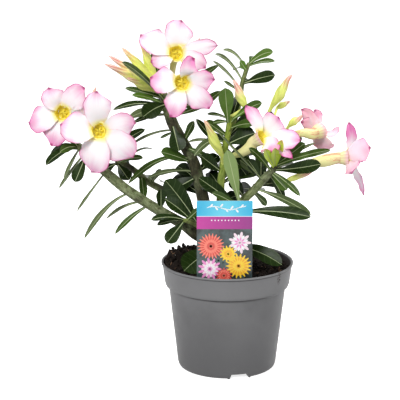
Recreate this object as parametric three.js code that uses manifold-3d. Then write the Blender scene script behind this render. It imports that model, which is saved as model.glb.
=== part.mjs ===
// A potted desert rose (adenium) with seven blooms, in millimetres, +Z up.
// The origin is the middle of the pot's foot, and the front of the plant faces -Y.
import * as THREE from 'three';
import { mergeVertices } from 'three/addons/utils/BufferGeometryUtils.js';
import Module from 'manifold-3d';

const wasm = await Module();
wasm.setup();

// Driving dimensions of the pot
const POT_HEIGHT = 107;
const RIM_RADIUS = 65.4;
const BAND_RADIUS = 61.8;
const BAND_BOTTOM = 84.2;
const WALL_TOP_RADIUS = 58;
const FOOT_RADIUS = 49.2;
const POT_WALL = 1.5;
const RIM_WALL = 2.4;
const POT_SIDES = 28;
const NOTCH_COUNT = 3;
const NOTCH_FIRST_DEG = 14;
const NOTCH_WIDTH = 20;
const NOTCH_TOP_WIDTH = 16.5;
const NOTCH_HEIGHT = 5;
const NOTCH_REACH = 27;
const DRAIN_RADIUS = 4;
const DRAIN_AT = 36;
const DRAIN_SIDES = 12;

// Driving dimensions of the soil and the label
const SOIL_LEVEL = 100;
const MOUND_RISE = 15;
const MOUND_AT = [-38, 14];
const MOUND_SPREAD = 25;
const SOIL_LUMP = 0.9;
const LABEL_WIDTH = 53;
const LABEL_TOP = 180;
const LABEL_BOTTOM = 97;
const LABEL_TAIL_TIP = 58;
const LABEL_TAIL_WIDTH = 15;
const LABEL_THICKNESS = 0.8;
const LABEL_X = -3.6;
const LABEL_Y = -50;

// Clearance between pieces that touch on the real plant
const GAP = 0.3;

// Leaves and petals: thickness, fold of a leaf along its rib, and cup, wave and roll of a petal
const LEAF_THICKNESS = 1.1;
const LEAF_FOLD = 0.22;
const PETAL_THICKNESS = 0.9;
const PETAL_CUP = 0.1;
const PETAL_WAVE = 0.05;
const PETAL_ROLL_DEG = 17;

// Throat of a bloom: a short funnel that carries the petals, above the tube
const THROAT_RADIUS = 8.2;
const THROAT_FOOT_RADIUS = 6.2;
const THROAT_DEPTH = 7;
const THROAT_WALL = 1;
const THROAT_SIDES = 10;

// Places in the plant are given as seen from the front, in millimetres: right of the pot's axis
// and above the foot on a picture plane EYE_REACH in front of the eye, and back along +Y.
const EYE = new THREE.Vector3(-27, -1320, 488);
const EYE_PITCH = THREE.MathUtils.degToRad(13.6);
const EYE_REACH = 1383;
const FOOT_BELOW_CENTRE = 162;

function spot(right, up, back) {
  const across = (right - EYE.x) / EYE_REACH;
  const rise = (up - FOOT_BELOW_CENTRE) / EYE_REACH;
  const ahead = Math.cos(EYE_PITCH) + rise * Math.sin(EYE_PITCH);
  const climb = rise * Math.cos(EYE_PITCH) - Math.sin(EYE_PITCH);
  const reach = (back - EYE.y) / ahead;
  return new THREE.Vector3(EYE.x + across * reach, back, EYE.z + climb * reach);
}

// Solids, turned so that their faces point out, and their joins and cuts
const WELD = 1e-3;

function solidOf(geometry) {
  const bare = geometry.clone();
  bare.deleteAttribute('normal');
  bare.deleteAttribute('uv');
  const merged = mergeVertices(bare, WELD);
  const vertProperties = new Float32Array(merged.attributes.position.array);
  const triVerts = new Uint32Array(merged.index.array);
  const solid = new wasm.Manifold(new wasm.Mesh({ numProp: 3, vertProperties, triVerts }));
  if (solid.volume() > 0) return solid;
  const turnedOut = triVerts.map((vertex, place) => triVerts[place - (place % 3) + (2 - (place % 3))]);
  return new wasm.Manifold(new wasm.Mesh({ numProp: 3, vertProperties, triVerts: turnedOut }));
}

function geometryOf(solid) {
  const mesh = solid.getMesh();
  const geometry = new THREE.BufferGeometry();
  geometry.setAttribute('position', new THREE.BufferAttribute(mesh.vertProperties, 3));
  geometry.setIndex(new THREE.BufferAttribute(mesh.triVerts, 1));
  return geometry;
}

function join(solids) {
  return solids.reduce((whole, next) => whole.add(next));
}

// The main body alone, once near vertices are welded: loose scraps and sealed hollows are left out
function mainBody(solid) {
  const bodies = solidOf(geometryOf(solid)).decompose();
  return bodies.reduce((best, body) => (body.volume() > best.volume() ? body : best));
}

// A closed solid through rings of points, each ring with as many points, closed by a fan at both ends
function loft(rings) {
  const count = rings[0].length;
  const points = rings.flat();
  const faces = [];
  for (let ring = 0; ring + 1 < rings.length; ring += 1) {
    for (let side = 0; side < count; side += 1) {
      const a = ring * count + side;
      const b = ring * count + ((side + 1) % count);
      faces.push(a, b, b + count, a, b + count, a + count);
    }
  }
  const last = (rings.length - 1) * count;
  for (let side = 1; side + 1 < count; side += 1) {
    faces.push(0, side + 1, side, last, last + side, last + side + 1);
  }
  const geometry = new THREE.BufferGeometry().setFromPoints(points);
  geometry.setIndex(faces);
  return solidOf(geometry);
}

// Round rods of changing thickness: stems, tubes and buds. A stop is [point, radius].
function rod(stops, sides, extra = 0) {
  const rings = [];
  let across = new THREE.Vector3(0, -1, 0.1);
  stops.forEach(([point, radius], index) => {
    const before = stops[Math.max(index - 1, 0)][0];
    const after = stops[Math.min(index + 1, stops.length - 1)][0];
    const along = after.clone().sub(before).normalize();
    across = across.clone().addScaledVector(along, -across.dot(along)).normalize();
    const other = along.clone().cross(across);
    const ring = [];
    for (let side = 0; side < sides; side += 1) {
      const angle = (2 * Math.PI * side) / sides;
      const reach = radius + extra;
      const place = point.clone();
      place.addScaledVector(across, reach * Math.cos(angle));
      place.addScaledVector(other, reach * Math.sin(angle));
      ring.push(place);
    }
    rings.push(ring);
  });
  return loft(rings);
}

function stemStops(rows) {
  return rows.map(([right, up, back, radius]) => [spot(right, up, back), radius]);
}

const STEM_SIDES = 8;
const THICK_STEM = 12;
const THICK_STEM_SIDES = 12;

function stem(rows, extra = 0) {
  const thickest = Math.max(...rows.map(([, , , radius]) => radius));
  return rod(stemStops(rows), thickest > THICK_STEM ? THICK_STEM_SIDES : STEM_SIDES, extra);
}

// Thin blades: outline gives [place along, share of the half width], lift the height of a point
function blade(base, tip, bow, facing, width, outline, shares, thickness, lift) {
  const rings = outline.map(([t, share]) => {
    const middle = base.clone().lerp(tip, t).addScaledVector(bow, 4 * t * (1 - t));
    const along = tip.clone().sub(base).addScaledVector(bow, 4 * (1 - 2 * t)).normalize();
    const side = along.clone().cross(facing).normalize();
    const normal = side.clone().cross(along);
    const half = (width / 2) * share;
    const place = (x, depth) => {
      const point = middle.clone().addScaledVector(side, half * x);
      return point.addScaledVector(normal, lift(x, t, half) - depth);
    };
    const top = shares.map((x) => place(x, 0));
    const under = shares.slice(1, -1).reverse().map((x) => place(x, thickness));
    return [...top, ...under];
  });
  return loft(rings);
}

const LEAF_OUTLINE = [[0, 0.2], [0.2, 0.32], [0.48, 0.8], [0.72, 1], [0.92, 0.64], [1, 0.1]];
const THIN_OUTLINE = [[0, 0.3], [0.35, 0.7], [0.68, 1], [0.9, 0.7], [1, 0.12]];
const THIN_WIDTH = 9.5;
const LEAF_SHARES = [-1, 0, 1];

// A leaf row is base right, up, back, tip right, up, back, width, turn of the blade in degrees
// from facing the front (0) towards facing up (90), and how far the middle arches up
function leaf([br, bu, bb, tr, tu, tb, width, turn, rise]) {
  const base = spot(br, bu, bb);
  const tip = spot(tr, tu, tb);
  const along = tip.clone().sub(base).normalize();
  const front = EYE.clone().sub(base);
  front.addScaledVector(along, -front.dot(along)).normalize();
  const upward = along.clone().cross(front);
  if (upward.z + 0.1 * upward.x < 0) upward.negate();
  const angle = THREE.MathUtils.degToRad(turn);
  const facing = front.multiplyScalar(Math.cos(angle)).addScaledVector(upward, Math.sin(angle));
  const bow = new THREE.Vector3(0, 0, rise);
  const fold = (x, t, half) => Math.abs(x) * half * LEAF_FOLD;
  const outline = width < THIN_WIDTH ? THIN_OUTLINE : LEAF_OUTLINE;
  return blade(base, tip, bow, facing, width, outline, LEAF_SHARES, LEAF_THICKNESS, fold);
}

// Buds: a spindle with a drawn out point on a thin stalk. A row is the stalk's start right, up,
// back, the spindle's foot right, up, back, its tip right, up, back, and its radius.
const BUD_OUTLINE = [[0, 0.44], [0.26, 0.92], [0.46, 1], [0.74, 0.56], [1, 0.12]];
const BUD_STALK = 0.36;
const BUD_SIDES = 6;

function bud([sr, su, sb, fr, fu, fb, tr, tu, tb, radius]) {
  const foot = spot(fr, fu, fb);
  const tip = spot(tr, tu, tb);
  const spindle = BUD_OUTLINE.map(([t, share]) => [foot.clone().lerp(tip, t), radius * share]);
  return rod([[spot(sr, su, sb), radius * BUD_STALK], ...spindle], BUD_SIDES);
}

// The pot: a thin shell with a rim band, a lip and a flat foot with raised drainage channels
const NOTCH_ANGLES = [];
for (let notch = 0; notch < NOTCH_COUNT; notch += 1) {
  NOTCH_ANGLES.push(THREE.MathUtils.degToRad(NOTCH_FIRST_DEG) + (2 * Math.PI * notch) / NOTCH_COUNT);
}

function turned(profile) {
  const points = profile.map(([radius, height]) => new THREE.Vector2(radius, height));
  return solidOf(new THREE.LatheGeometry(points, POT_SIDES).rotateX(Math.PI / 2));
}

const LIP_HEIGHT = 2.2;
const STEP_HEIGHT = 2.4;
const OUTER_PROFILE = [
  [0, 0],
  [FOOT_RADIUS - 3.5, 0],
  [FOOT_RADIUS - 1, 1],
  [FOOT_RADIUS, 4],
  [WALL_TOP_RADIUS, BAND_BOTTOM - STEP_HEIGHT],
  [BAND_RADIUS - 0.8, BAND_BOTTOM - 0.3],
  [BAND_RADIUS, BAND_BOTTOM + 2],
  [RIM_RADIUS - 1, POT_HEIGHT - LIP_HEIGHT],
  [RIM_RADIUS, POT_HEIGHT - LIP_HEIGHT + 0.7],
  [RIM_RADIUS, POT_HEIGHT - 0.6],
  [RIM_RADIUS - 0.6, POT_HEIGHT],
  [0, POT_HEIGHT],
];
const INNER_PROFILE = [
  [0, POT_WALL],
  [FOOT_RADIUS - 4.5, POT_WALL],
  [FOOT_RADIUS - POT_WALL, 5],
  [WALL_TOP_RADIUS - POT_WALL, BAND_BOTTOM - STEP_HEIGHT + 0.6],
  [BAND_RADIUS - POT_WALL - 0.8, BAND_BOTTOM + 1],
  [BAND_RADIUS - POT_WALL, BAND_BOTTOM + 3],
  [RIM_RADIUS - RIM_WALL, POT_HEIGHT - 1],
];

// A drainage channel's block or hollow: a long wedge from the middle of the foot to its edge
function channel(angle, grow, from, to) {
  const half = NOTCH_WIDTH / 2 + grow;
  const topHalf = NOTCH_TOP_WIDTH / 2 + grow;
  const height = NOTCH_HEIGHT + grow;
  const section = new THREE.Shape();
  section.moveTo(-half, -1);
  section.lineTo(half, -1);
  section.lineTo(topHalf, height);
  section.lineTo(-topHalf, height);
  const long = new THREE.ExtrudeGeometry(section, { depth: to - from, bevelEnabled: false });
  long.rotateX(Math.PI / 2).translate(0, -from, 0).rotateZ(angle);
  return solidOf(long);
}

function drain(angle) {
  const depth = 2 * (NOTCH_HEIGHT + 1);
  const hole = new THREE.CylinderGeometry(DRAIN_RADIUS, DRAIN_RADIUS, depth, DRAIN_SIDES);
  return solidOf(hole.rotateX(Math.PI / 2).translate(0, -DRAIN_AT, NOTCH_HEIGHT).rotateZ(angle));
}

const NOTCH_START = FOOT_RADIUS - NOTCH_REACH;
const PAST_FOOT = FOOT_RADIUS + 6;

function pot() {
  const outer = turned(OUTER_PROFILE);
  const hollow = turned([...INNER_PROFILE, [RIM_RADIUS - RIM_WALL, POT_HEIGHT + 2], [0, POT_HEIGHT + 2]]);
  const blocks = NOTCH_ANGLES.map((angle) => channel(angle, POT_WALL, NOTCH_START - POT_WALL, FOOT_RADIUS));
  const withinWall = turned([[0, 0], [FOOT_RADIUS - 2, 0], [FOOT_RADIUS - 0.7, 9], [0, 9]]);
  let body = outer.subtract(hollow).add(join(blocks).intersect(withinWall));
  body = body.subtract(join(NOTCH_ANGLES.map((angle) => channel(angle, 0, NOTCH_START, PAST_FOOT))));
  return body.subtract(join(NOTCH_ANGLES.map(drain)));
}

// The soil fills the pot and is heaped up at the left. Its top is made of rings, as shares of its edge.
const SOIL_MIDDLE_RADIUS = 4;
const SOIL_EDGE_GROW = 0.6;
const SOIL_TOP_SHARES = [1, 0.84, 0.66, 0.46, 0.24];

function soilHeight(x, y) {
  const away = (x - MOUND_AT[0]) ** 2 + (y - MOUND_AT[1]) ** 2;
  const mound = MOUND_RISE * Math.exp(-away / (2 * MOUND_SPREAD ** 2));
  const lumps = SOIL_LUMP * (Math.sin(0.31 * x + 1) * Math.cos(0.27 * y) + Math.sin(0.17 * (x - 2 * y)));
  return SOIL_LEVEL + mound + lumps;
}

function soil() {
  const ringAt = (radius, height) => {
    const ring = [];
    for (let side = 0; side < POT_SIDES; side += 1) {
      const angle = (2 * Math.PI * side) / POT_SIDES;
      const x = radius * Math.sin(angle);
      const y = radius * Math.cos(angle);
      ring.push(new THREE.Vector3(x, y, height ?? soilHeight(x, y)));
    }
    return ring;
  };
  const fill = INNER_PROFILE.slice(0, -1).map(([radius, height]) => [radius - GAP, height + GAP]);
  fill[0] = [SOIL_MIDDLE_RADIUS, POT_WALL + GAP];
  const rings = fill.map(([radius, height]) => ringAt(radius, height));
  const edge = fill[fill.length - 1][0] + SOIL_EDGE_GROW;
  for (const share of SOIL_TOP_SHARES) rings.push(ringAt(edge * share));
  const blocks = NOTCH_ANGLES.map((angle) => {
    return channel(angle, POT_WALL + GAP, NOTCH_START - POT_WALL - GAP, PAST_FOOT);
  });
  const tail = labelSolid(GAP);
  return loft(rings).subtract(join(blocks)).subtract(caudex(GAP)).subtract(tail);
}

// The label: a printed card with a pointed tail that stands in the soil
function labelSolid(grow = 0) {
  const half = LABEL_WIDTH / 2 + grow;
  const tail = LABEL_TAIL_WIDTH / 2 + grow;
  const outline = new THREE.Shape();
  outline.moveTo(-half, LABEL_TOP);
  outline.lineTo(-half, LABEL_BOTTOM - grow);
  outline.lineTo(-tail, LABEL_BOTTOM - 8 - grow);
  outline.lineTo(-tail * 0.7, LABEL_TAIL_TIP + 8);
  outline.lineTo(0, LABEL_TAIL_TIP - grow);
  outline.lineTo(tail * 0.7, LABEL_TAIL_TIP + 8);
  outline.lineTo(tail, LABEL_BOTTOM - 8 - grow);
  outline.lineTo(half, LABEL_BOTTOM - grow);
  outline.lineTo(half, LABEL_TOP);
  const depth = LABEL_THICKNESS + 2 * grow;
  const card = new THREE.ExtrudeGeometry(outline, { depth, bevelEnabled: false });
  card.translate(0, 0, -depth / 2).rotateX(Math.PI / 2);
  return solidOf(card.translate(LABEL_X, LABEL_Y, 0));
}

// The swollen foot of the trunk
const CAUDEX = [
  [-5, 66, 4, 9],
  [-5, 84, 4, 18],
  [-5, 102, 3, 20],
  [-6, 116, 2, 17],
  [-8, 126, 2, 13],
  [-9, 134, 2, 9],
];
const caudex = (extra = 0) => stem(CAUDEX, extra);

// Branches: stems are lists of [right, up, back, radius], with the leaves that grow on them
const LEFT_STEM = [
  [-8, 119, 0, 6.4],
  [-30, 127, -6, 5.6],
  [-44, 138, -9, 5.4],
  [-67, 151, -13, 5.2],
  [-97, 170, -18, 5],
  [-117, 186, -22, 4.8],
  [-129, 197, -23, 4.4],
  [-141, 208, -21, 3.8],
  [-150, 217, -18, 3],
];
const LEFT_LEAVES = [
  [-149, 213, -19, -181, 197, -34, 11, 45, 5],
  [-148, 214, -19, -167, 210, -40, 9, 20, 3],
  [-148, 213, -18, -163, 183, -26, 6, 50, 1],
  [-143, 208, -20, -168, 174, -12, 6, 55, 0],
  [-141, 207, -21, -152, 180, -34, 12, 15, 0],
  [-149, 215, -20, -159, 229, -37, 9, 20, 0],
  [-122, 190, -22, -150, 151, -30, 5, 60, 0],
  [-97, 169, -18, -143, 123, -30, 7, 45, 8],
  [-85, 160, -15, -121, 143, -6, 5, 40, 4],
  [-79, 156, -14, -112, 128, -26, 7, 35, 3],
  [-66, 150, -13, -66, 173, -22, 10, 10, 0],
  [-139, 207, -21, -110, 240, 4, 9, 30, 0],
  [-130, 198, -22, -82, 233, 6, 10, 35, 3],
  [-141, 208, -20, -116, 226, 24, 12, 40, 4],
  [-148, 214, -17, -177, 207, 14, 12, 45, 4],
  [-146, 213, -18, -142, 214, 20, 12, 60, 4],
];

const MIDDLE_LEFT_STEM = [
  [-9, 126, 5, 5.4],
  [-26, 141, 10, 4.4],
  [-52, 165, 15, 3.7],
  [-77, 179, 18, 3.4],
  [-99, 196, 14, 2.9],
  [-111, 199, 8, 2.2],
];
const MIDDLE_LEFT_LEAVES = [
  [-110, 199, 8, -98, 182, -8, 13, 15, 0],
  [-110, 199, 9, -84, 204, -4, 7, 40, 2],
  [-110, 199, 8, -128, 190, 0, 11, 10, 0],
  [-104, 198, 11, -74, 213, 26, 4, 55, 6],
  [-86, 187, 17, -83, 163, 4, 9, 20, 4],
  [-76, 179, 17, -66, 193, 4, 6, 30, 0],
  [-96, 194, 15, -110, 200, 44, 12, 60, 4],
  [-72, 176, 17, -84, 186, 48, 12, 60, 5],
  [-56, 168, 15, -66, 180, 46, 12, 60, 5],
];

const UPRIGHT_STEM = [
  [-8, 124, 4, 7.4],
  [-20, 150, 7, 6.4],
  [-27, 177, 8, 6],
  [-31, 192, 8, 6],
  [-36, 205, 8, 5.8],
  [-48, 227, 8, 5.5],
  [-55, 240, 7, 5.4],
  [-61, 259, 5, 4.8],
  [-64, 270, 4, 3.6],
];
const UPRIGHT_LEAVES = [
  [-62, 255, 5, -114, 252, -6, 8, 45, 5],
  [-61, 252, 4, -98, 244, -16, 9, 30, 3],
  [-58, 247, 4, -94, 239, -2, 6, 35, 3],
  [-63, 263, 8, -102, 274, 16, 7, 30, 1],
  [-62, 260, 8, -88, 276, 26, 10, 30, 2],
  [-62, 261, 0, -105, 300, -64, 8, 40, 4],
  [-63, 266, 8, -96, 303, 34, 8, 40, 3],
  [-64, 267, 8, -74, 312, 22, 10, 20, 2],
  [-60, 258, 3, -84, 245, -28, 17, 15, 2],
  [-57, 246, 5, -6, 271, -6, 10, 30, -4],
  [-58, 254, 6, -10, 266, 14, 9, 30, -2],
  [-60, 255, 5, -8, 297, 20, 8, 35, 3],
  [-54, 236, 2, -48, 211, -8, 17, 10, 0],
  [-51, 232, 7, -96, 217, 8, 5, 55, 4],
  [-51, 231, 9, -67, 224, 16, 4, 40, 0],
  [-44, 219, 7, -33, 241, -2, 8, 20, 0],
  [-34, 199, 6, -66, 210, -12, 14, 35, 1],
  [-40, 214, 4, -14, 198, -12, 9, 30, 2],
  [-29, 186, 5, -56, 171, 2, 16, 20, 0],
  [-36, 203, 4, -99, 178, -14, 8, 45, 11],
  [-31, 190, 6, -79, 184, -4, 7, 45, 4],
  [-63, 265, 7, -64, 288, 52, 14, 50, 5],
  [-62, 264, 6, -76, 296, 46, 14, 50, 5],
  [-60, 256, 7, -38, 268, 50, 13, 60, 4],
  [-58, 250, 7, -80, 262, 44, 13, 60, 4],
  [-40, 212, 10, -52, 226, 48, 13, 60, 4],
  [-32, 194, 10, -46, 204, 54, 13, 60, 5],
  [-63, 258, 5, -95, 267, -12, 6, 30, 2],
  [-22, 164, 10, -54, 184, 24, 16, 20, 2],
  [-30, 188, 8, -8, 206, 24, 14, 20, 2],
  [-25, 171, 9, -10, 182, 34, 13, 20, 2],
  [-27, 178, 8, -50, 196, 36, 14, 20, 2],
];

const CENTRE_STEM = [
  [-9, 126, 0, 5.2],
  [-7, 152, -4, 4.2],
  [-6, 180, -6, 3.7],
  [-4, 197, -6, 3.5],
  [-2, 214, -6, 3.3],
  [1, 228, -5, 3.1],
  [3, 246, -4, 2.6],
];
const CENTRE_LEAVES = [
  [-5, 190, -6, -26, 206, -22, 14, 15, 0],
  [1, 239, -7, -2, 274, -18, 15, 10, 0],
  [2, 234, -4, 13, 270, 8, 9, 25, 0],
  [3, 239, -6, 35, 259, -17, 10, 25, 3],
  [3, 241, -5, 22, 254, -18, 4, 30, 0],
  [-1, 217, -5, 28, 229, -8, 18, 15, 1],
  [2, 233, -6, 27, 238, -14, 12, 45, 2],
  [0, 226, -5, -21, 241, -22, 9, 30, 0],
  [2, 240, -5, -14, 239, -18, 5, 30, 1],
  [3, 242, -4, -20, 248, 2, 4, 30, 2],
  [-3, 210, -5, -31, 243, -12, 8, 20, 0],
  [-2, 219, -5, -33, 206, -18, 8, 30, 8],
  [-2, 216, -5, -39, 220, 0, 4, 40, 4],
  [-2, 216, -4, -10, 222, 44, 13, 60, 5],
  [1, 222, -4, 24, 226, 42, 13, 60, 5],
  [-3, 206, -4, 2, 206, 44, 14, 60, 5],
  [-5, 192, -4, -14, 190, 42, 14, 60, 5],
  [-5, 186, -4, 12, 182, 38, 14, 55, 5],
  [-5, 182, -5, 22, 206, 14, 14, 20, 2],
  [-6, 178, -5, 30, 190, 22, 14, 25, 3],
  [-1, 214, -4, 20, 186, 12, 13, 20, 0],
  [-3, 202, -4, 30, 214, 20, 16, 20, 2],
  [-4, 197, -4, 27, 196, 26, 15, 25, 2],
  [0, 224, -4, 27, 247, 24, 13, 25, 2],
  [-1, 219, -4, -20, 224, 24, 12, 30, 2],
  [-6, 166, -4, -27, 180, 8, 13, 20, 1],
  [-6, 172, -4, -18, 190, 34, 13, 20, 2],
  [-7, 158, -3, 12, 166, 26, 14, 20, 2],
];

const TOP_RIGHT_STEM = [
  [1, 229, -4, 2.6],
  [9, 246, 8, 2.6],
  [13, 264, 14, 2.5],
  [15, 277, 16, 2.3],
  [18, 288, 17, 2.2],
  [22, 299, 18, 1.9],
];
const TOP_RIGHT_LEAVES = [
  [22, 298, 18, 46, 310, 8, 9, 25, 3],
  [22, 296, 18, 48, 301, 26, 6, 35, 2],
  [15, 278, 16, 48, 287, 2, 12, 10, 1],
  [20, 292, 17, -4, 312, 14, 4, 40, 6],
  [16, 280, 16, -12, 308, 24, 5, 40, 6],
  [14, 272, 15, -14, 301, 6, 4, 40, 3],
  [14, 270, 15, -3, 281, 2, 4, 40, 0],
  [20, 291, 17, 13, 301, 8, 7, 20, 0],
  [22, 298, 18, 30, 304, 44, 10, 60, 4],
  [20, 290, 18, 8, 292, 44, 10, 60, 4],
  [15, 278, 16, 26, 280, 42, 10, 60, 3],
];

const RIGHT_STEM = [
  [-2, 122, 4, 6.4],
  [10, 146, 0, 5],
  [17, 162, -3, 4.3],
  [26, 171, -5, 4.1],
  [36, 182, -6, 4],
  [44, 190, -6, 3.7],
  [49, 197, -4, 3],
];
const RIGHT_STALK = [
  [47, 194, -5, 2.2],
  [54, 212, 6, 2.4],
  [58, 226, 12, 2.3],
  [58, 233, 14, 2],
];
const RIGHT_STALK_FORK = [
  [57, 224, 12, 2],
  [50, 240, 18, 2],
  [42, 251, 20, 1.8],
];
const RIGHT_LEAVES = [
  [44, 191, -9, 22, 214, -40, 7, 20, 2],
  [48, 196, -8, 55, 222, -48, 8, 10, 0],
  [47, 195, -8, 38, 213, -54, 8, 10, 0],
  [48, 196, -8, 48, 214, -56, 8, 10, 0],
  [47, 192, -7, 94, 198, -22, 14, 10, -1],
  [48, 196, -6, 84, 208, -17, 8, 30, 1],
  [48, 196, -4, 104, 212, 12, 8, 25, 2],
  [48, 196, -3, 78, 219, 0, 10, 20, 0],
  [49, 197, -2, 88, 219, 14, 4, 30, 2],
  [49, 197, -2, 74, 226, 24, 10, 25, 0],
  [44, 189, -8, 60, 172, -20, 10, 15, 0],
  [45, 190, -8, 73, 166, -24, 7, 25, 2],
  [42, 187, -3, 57, 163, 4, 9, 25, 2],
  [28, 173, -7, 84, 147, -20, 10, 30, 3],
  [36, 182, -9, -11, 232, -44, 5, 60, 0],
  [36, 184, -4, 13, 202, 2, 10, 20, 0],
  [26, 171, -3, 40, 157, 10, 8, 30, 0],
  [45, 192, -3, 52, 212, 44, 13, 60, 4],
  [45, 191, -3, 72, 196, 42, 13, 60, 4],
  [38, 184, -3, 40, 182, 44, 13, 60, 4],
  [26, 171, -2, 34, 172, 42, 13, 60, 4],
  [34, 180, -3, 34, 210, 24, 14, 20, 2],
  [18, 163, -1, 4, 182, 12, 13, 20, 1],
  [30, 175, -3, 52, 178, 18, 12, 30, 2],
  [35, 181, -6, 21, 202, -12, 11, 20, 1],
  [27, 171, -3, 11, 172, 30, 14, 20, 2],
  [38, 185, -3, 34, 206, 40, 12, 20, 2],
];

const LOW_LEFT_STEM = [
  [-8, 122, -2, 4],
  [-22, 132, -16, 3.2],
  [-36, 140, -24, 2.6],
  [-44, 142, -27, 2.1],
];
const LOW_LEFT_LEAVES = [
  [-27, 135, -19, -62, 182, -12, 20, 10, 2],
  [-32, 138, -22, -62, 163, -30, 14, 30, 2],
  [-42, 142, -27, -76, 142, -36, 8, 35, 3],
  [-42, 141, -27, -70, 137, -28, 10, 50, 2],
  [-43, 141, -27, -60, 119, -38, 14, 10, 0],
  [-40, 142, -26, -28, 153, -38, 7, 25, 0],
];

const LOW_RIGHT_STEM = [
  [-2, 120, -2, 4.4],
  [6, 136, -14, 3.4],
  [11, 149, -20, 2.8],
  [13, 158, -22, 2.2],
];
const LOW_RIGHT_LEAVES = [
  [12, 150, -20, 84, 145, -36, 13, 15, 3],
  [12, 156, -22, -28, 184, -20, 14, 20, 0],
  [12, 154, -21, -15, 169, -34, 8, 30, 2],
  [13, 157, -22, 0, 212, -30, 13, 5, 0],
];

const BASE_LEFT_LEAF = [[-14, 110, -14, -43, 91, -38, 24, 10, 3]];
const BASE_RIGHT_LEAF = [[1, 116, -7, 55, 97, -28, 16, 20, 5]];

// Blooms: the throat's place, the way it faces, the tube back to its branch and the five petals,
// each [tip right, up, back, width, arch towards the front of the bloom, roll about its length]
const BLOOMS = [
  {
    name: 'bloom_left_front',
    throat: [-128, 231, -44],
    faces: [0.05, -0.97, 0.2],
    tube: [[-133, 228, -28, 4.6], [-137, 222, -22, 3], [-140, 214, -21, 1.8], [-141, 208, -21, 1.6]],
    petals: [
      [-130, 268, -46, 27, 5],
      [-94, 238, -42, 26, 5],
      [-96, 206, -46, 31, 5],
      [-135, 192, -44, 31, 5],
      [-164, 237, -50, 31, 5],
    ],
  },
  {
    name: 'bloom_left_back',
    throat: [-165, 249, -24],
    faces: [-0.15, -0.95, 0.2],
    tube: [[-162, 246, -8, 4.6], [-158, 238, -2, 3], [-153, 226, -9, 1.8], [-149, 216, -18, 1.6]],
    petals: [
      [-177, 272, -24, 23, 4],
      [-144, 272, -22, 24, 4],
      [-138, 245, -14, 22, 3],
      [-175, 219, -30, 26, 4],
      [-196, 240, -22, 27, 4],
    ],
  },
  {
    name: 'bloom_top',
    throat: [-51, 309, -8],
    faces: [0, -0.93, 0.33],
    tube: [[-52, 304, 8, 4.6], [-54, 296, 16, 3.2], [-56, 274, 15, 1.8], [-60, 257, 5, 1.6]],
    petals: [
      [-84, 326, -6, 27, 4],
      [-46, 339, -2, 28, 4],
      [-12, 316, -4, 16, 4],
      [-24, 295, -12, 20, 4],
      [-74, 301, -14, 22, 4],
    ],
  },
  {
    name: 'bloom_top_front',
    throat: [-45, 279, -36],
    faces: [0.1, -0.97, 0.1],
    tube: [[-48, 276, -18, 4.6], [-52, 272, -8, 3], [-58, 266, 0, 1.8], [-63, 264, 4, 1.6]],
    petals: [
      [-74, 284, -36, 26, 4],
      [-34, 301, -34, 20, 8],
      [-15, 282, -38, 21, 4],
      [-20, 255, -38, 23, 4],
      [-56, 248, -40, 22, 4],
    ],
  },
  {
    name: 'bloom_middle',
    throat: [36, 225, -28],
    faces: [0.74, -0.42, 0.52],
    tube: [[23, 215, -22, 5.4], [14, 209, -18, 4], [4, 206, -10, 2.2], [-3, 206, -6, 1.6]],
    petals: [
      [20, 254, -24, 15, 3, -35],
      [50, 243, -16, 27, 5, -5],
      [71, 222, -24, 22, 3],
      [63, 205, -34, 14, 3],
      [43, 211, -42, 20, 3, 75],
    ],
  },
  {
    name: 'bloom_right_back',
    throat: [93, 231, 20],
    faces: [0.7, 0.68, 0.12],
    tube: [[77, 229, 12, 4.4], [69, 228, 10, 3.2], [62, 227, 9, 2], [57, 221, 10, 1.5]],
    petals: [
      [76, 251, 26, 14, 2],
      [88, 250, 30, 14, 2],
      [106, 232, 26, 20, 2, 70],
      [97, 213, 22, 30, 2, 5],
      [76, 239, 26, 14, 2],
    ],
  },
  {
    name: 'bloom_right_front',
    throat: [122, 204, -8],
    faces: [0.96, -0.2, 0.05],
    tube: [[96, 201, -5, 6], [82, 199, -4, 3.2], [66, 194, 2, 1.8], [47, 193, -5, 1.6]],
    petals: [
      [122, 237, -8, 14, 3, -40],
      [140, 209, 10, 17, 3],
      [136, 169, 2, 13, 3],
      [124, 190, -26, 20, 3, -50],
      [141, 214, -20, 26, 3],
    ],
  },
];

const PETAL_OUTLINE = [[0, 0.4], [0.34, 0.84], [0.68, 1], [0.9, 0.7], [1, 0.12]];
const PETAL_SHARES = [-1, -0.4, 0.4, 1];

function petal(throat, faces, [right, up, back, width, rise, roll = PETAL_ROLL_DEG]) {
  const tip = spot(right, up, back);
  const out = tip.clone().sub(throat);
  out.addScaledVector(faces, -out.dot(faces)).normalize();
  const base = throat.clone().addScaledVector(out, THROAT_RADIUS - THROAT_WALL * 1.3);
  base.addScaledVector(faces, -0.6);
  const along = tip.clone().sub(base).normalize();
  const facing = faces.clone().applyAxisAngle(along, THREE.MathUtils.degToRad(roll));
  const bow = faces.clone().multiplyScalar(rise);
  const cup = (x, t, half) => {
    const edge = half * x * x * PETAL_CUP * (1 - 2 * t);
    return edge + half * x * PETAL_WAVE * Math.sin(7 * t + 2 * x);
  };
  return blade(base, tip, bow, facing, width, PETAL_OUTLINE, PETAL_SHARES, PETAL_THICKNESS, cup);
}

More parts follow.
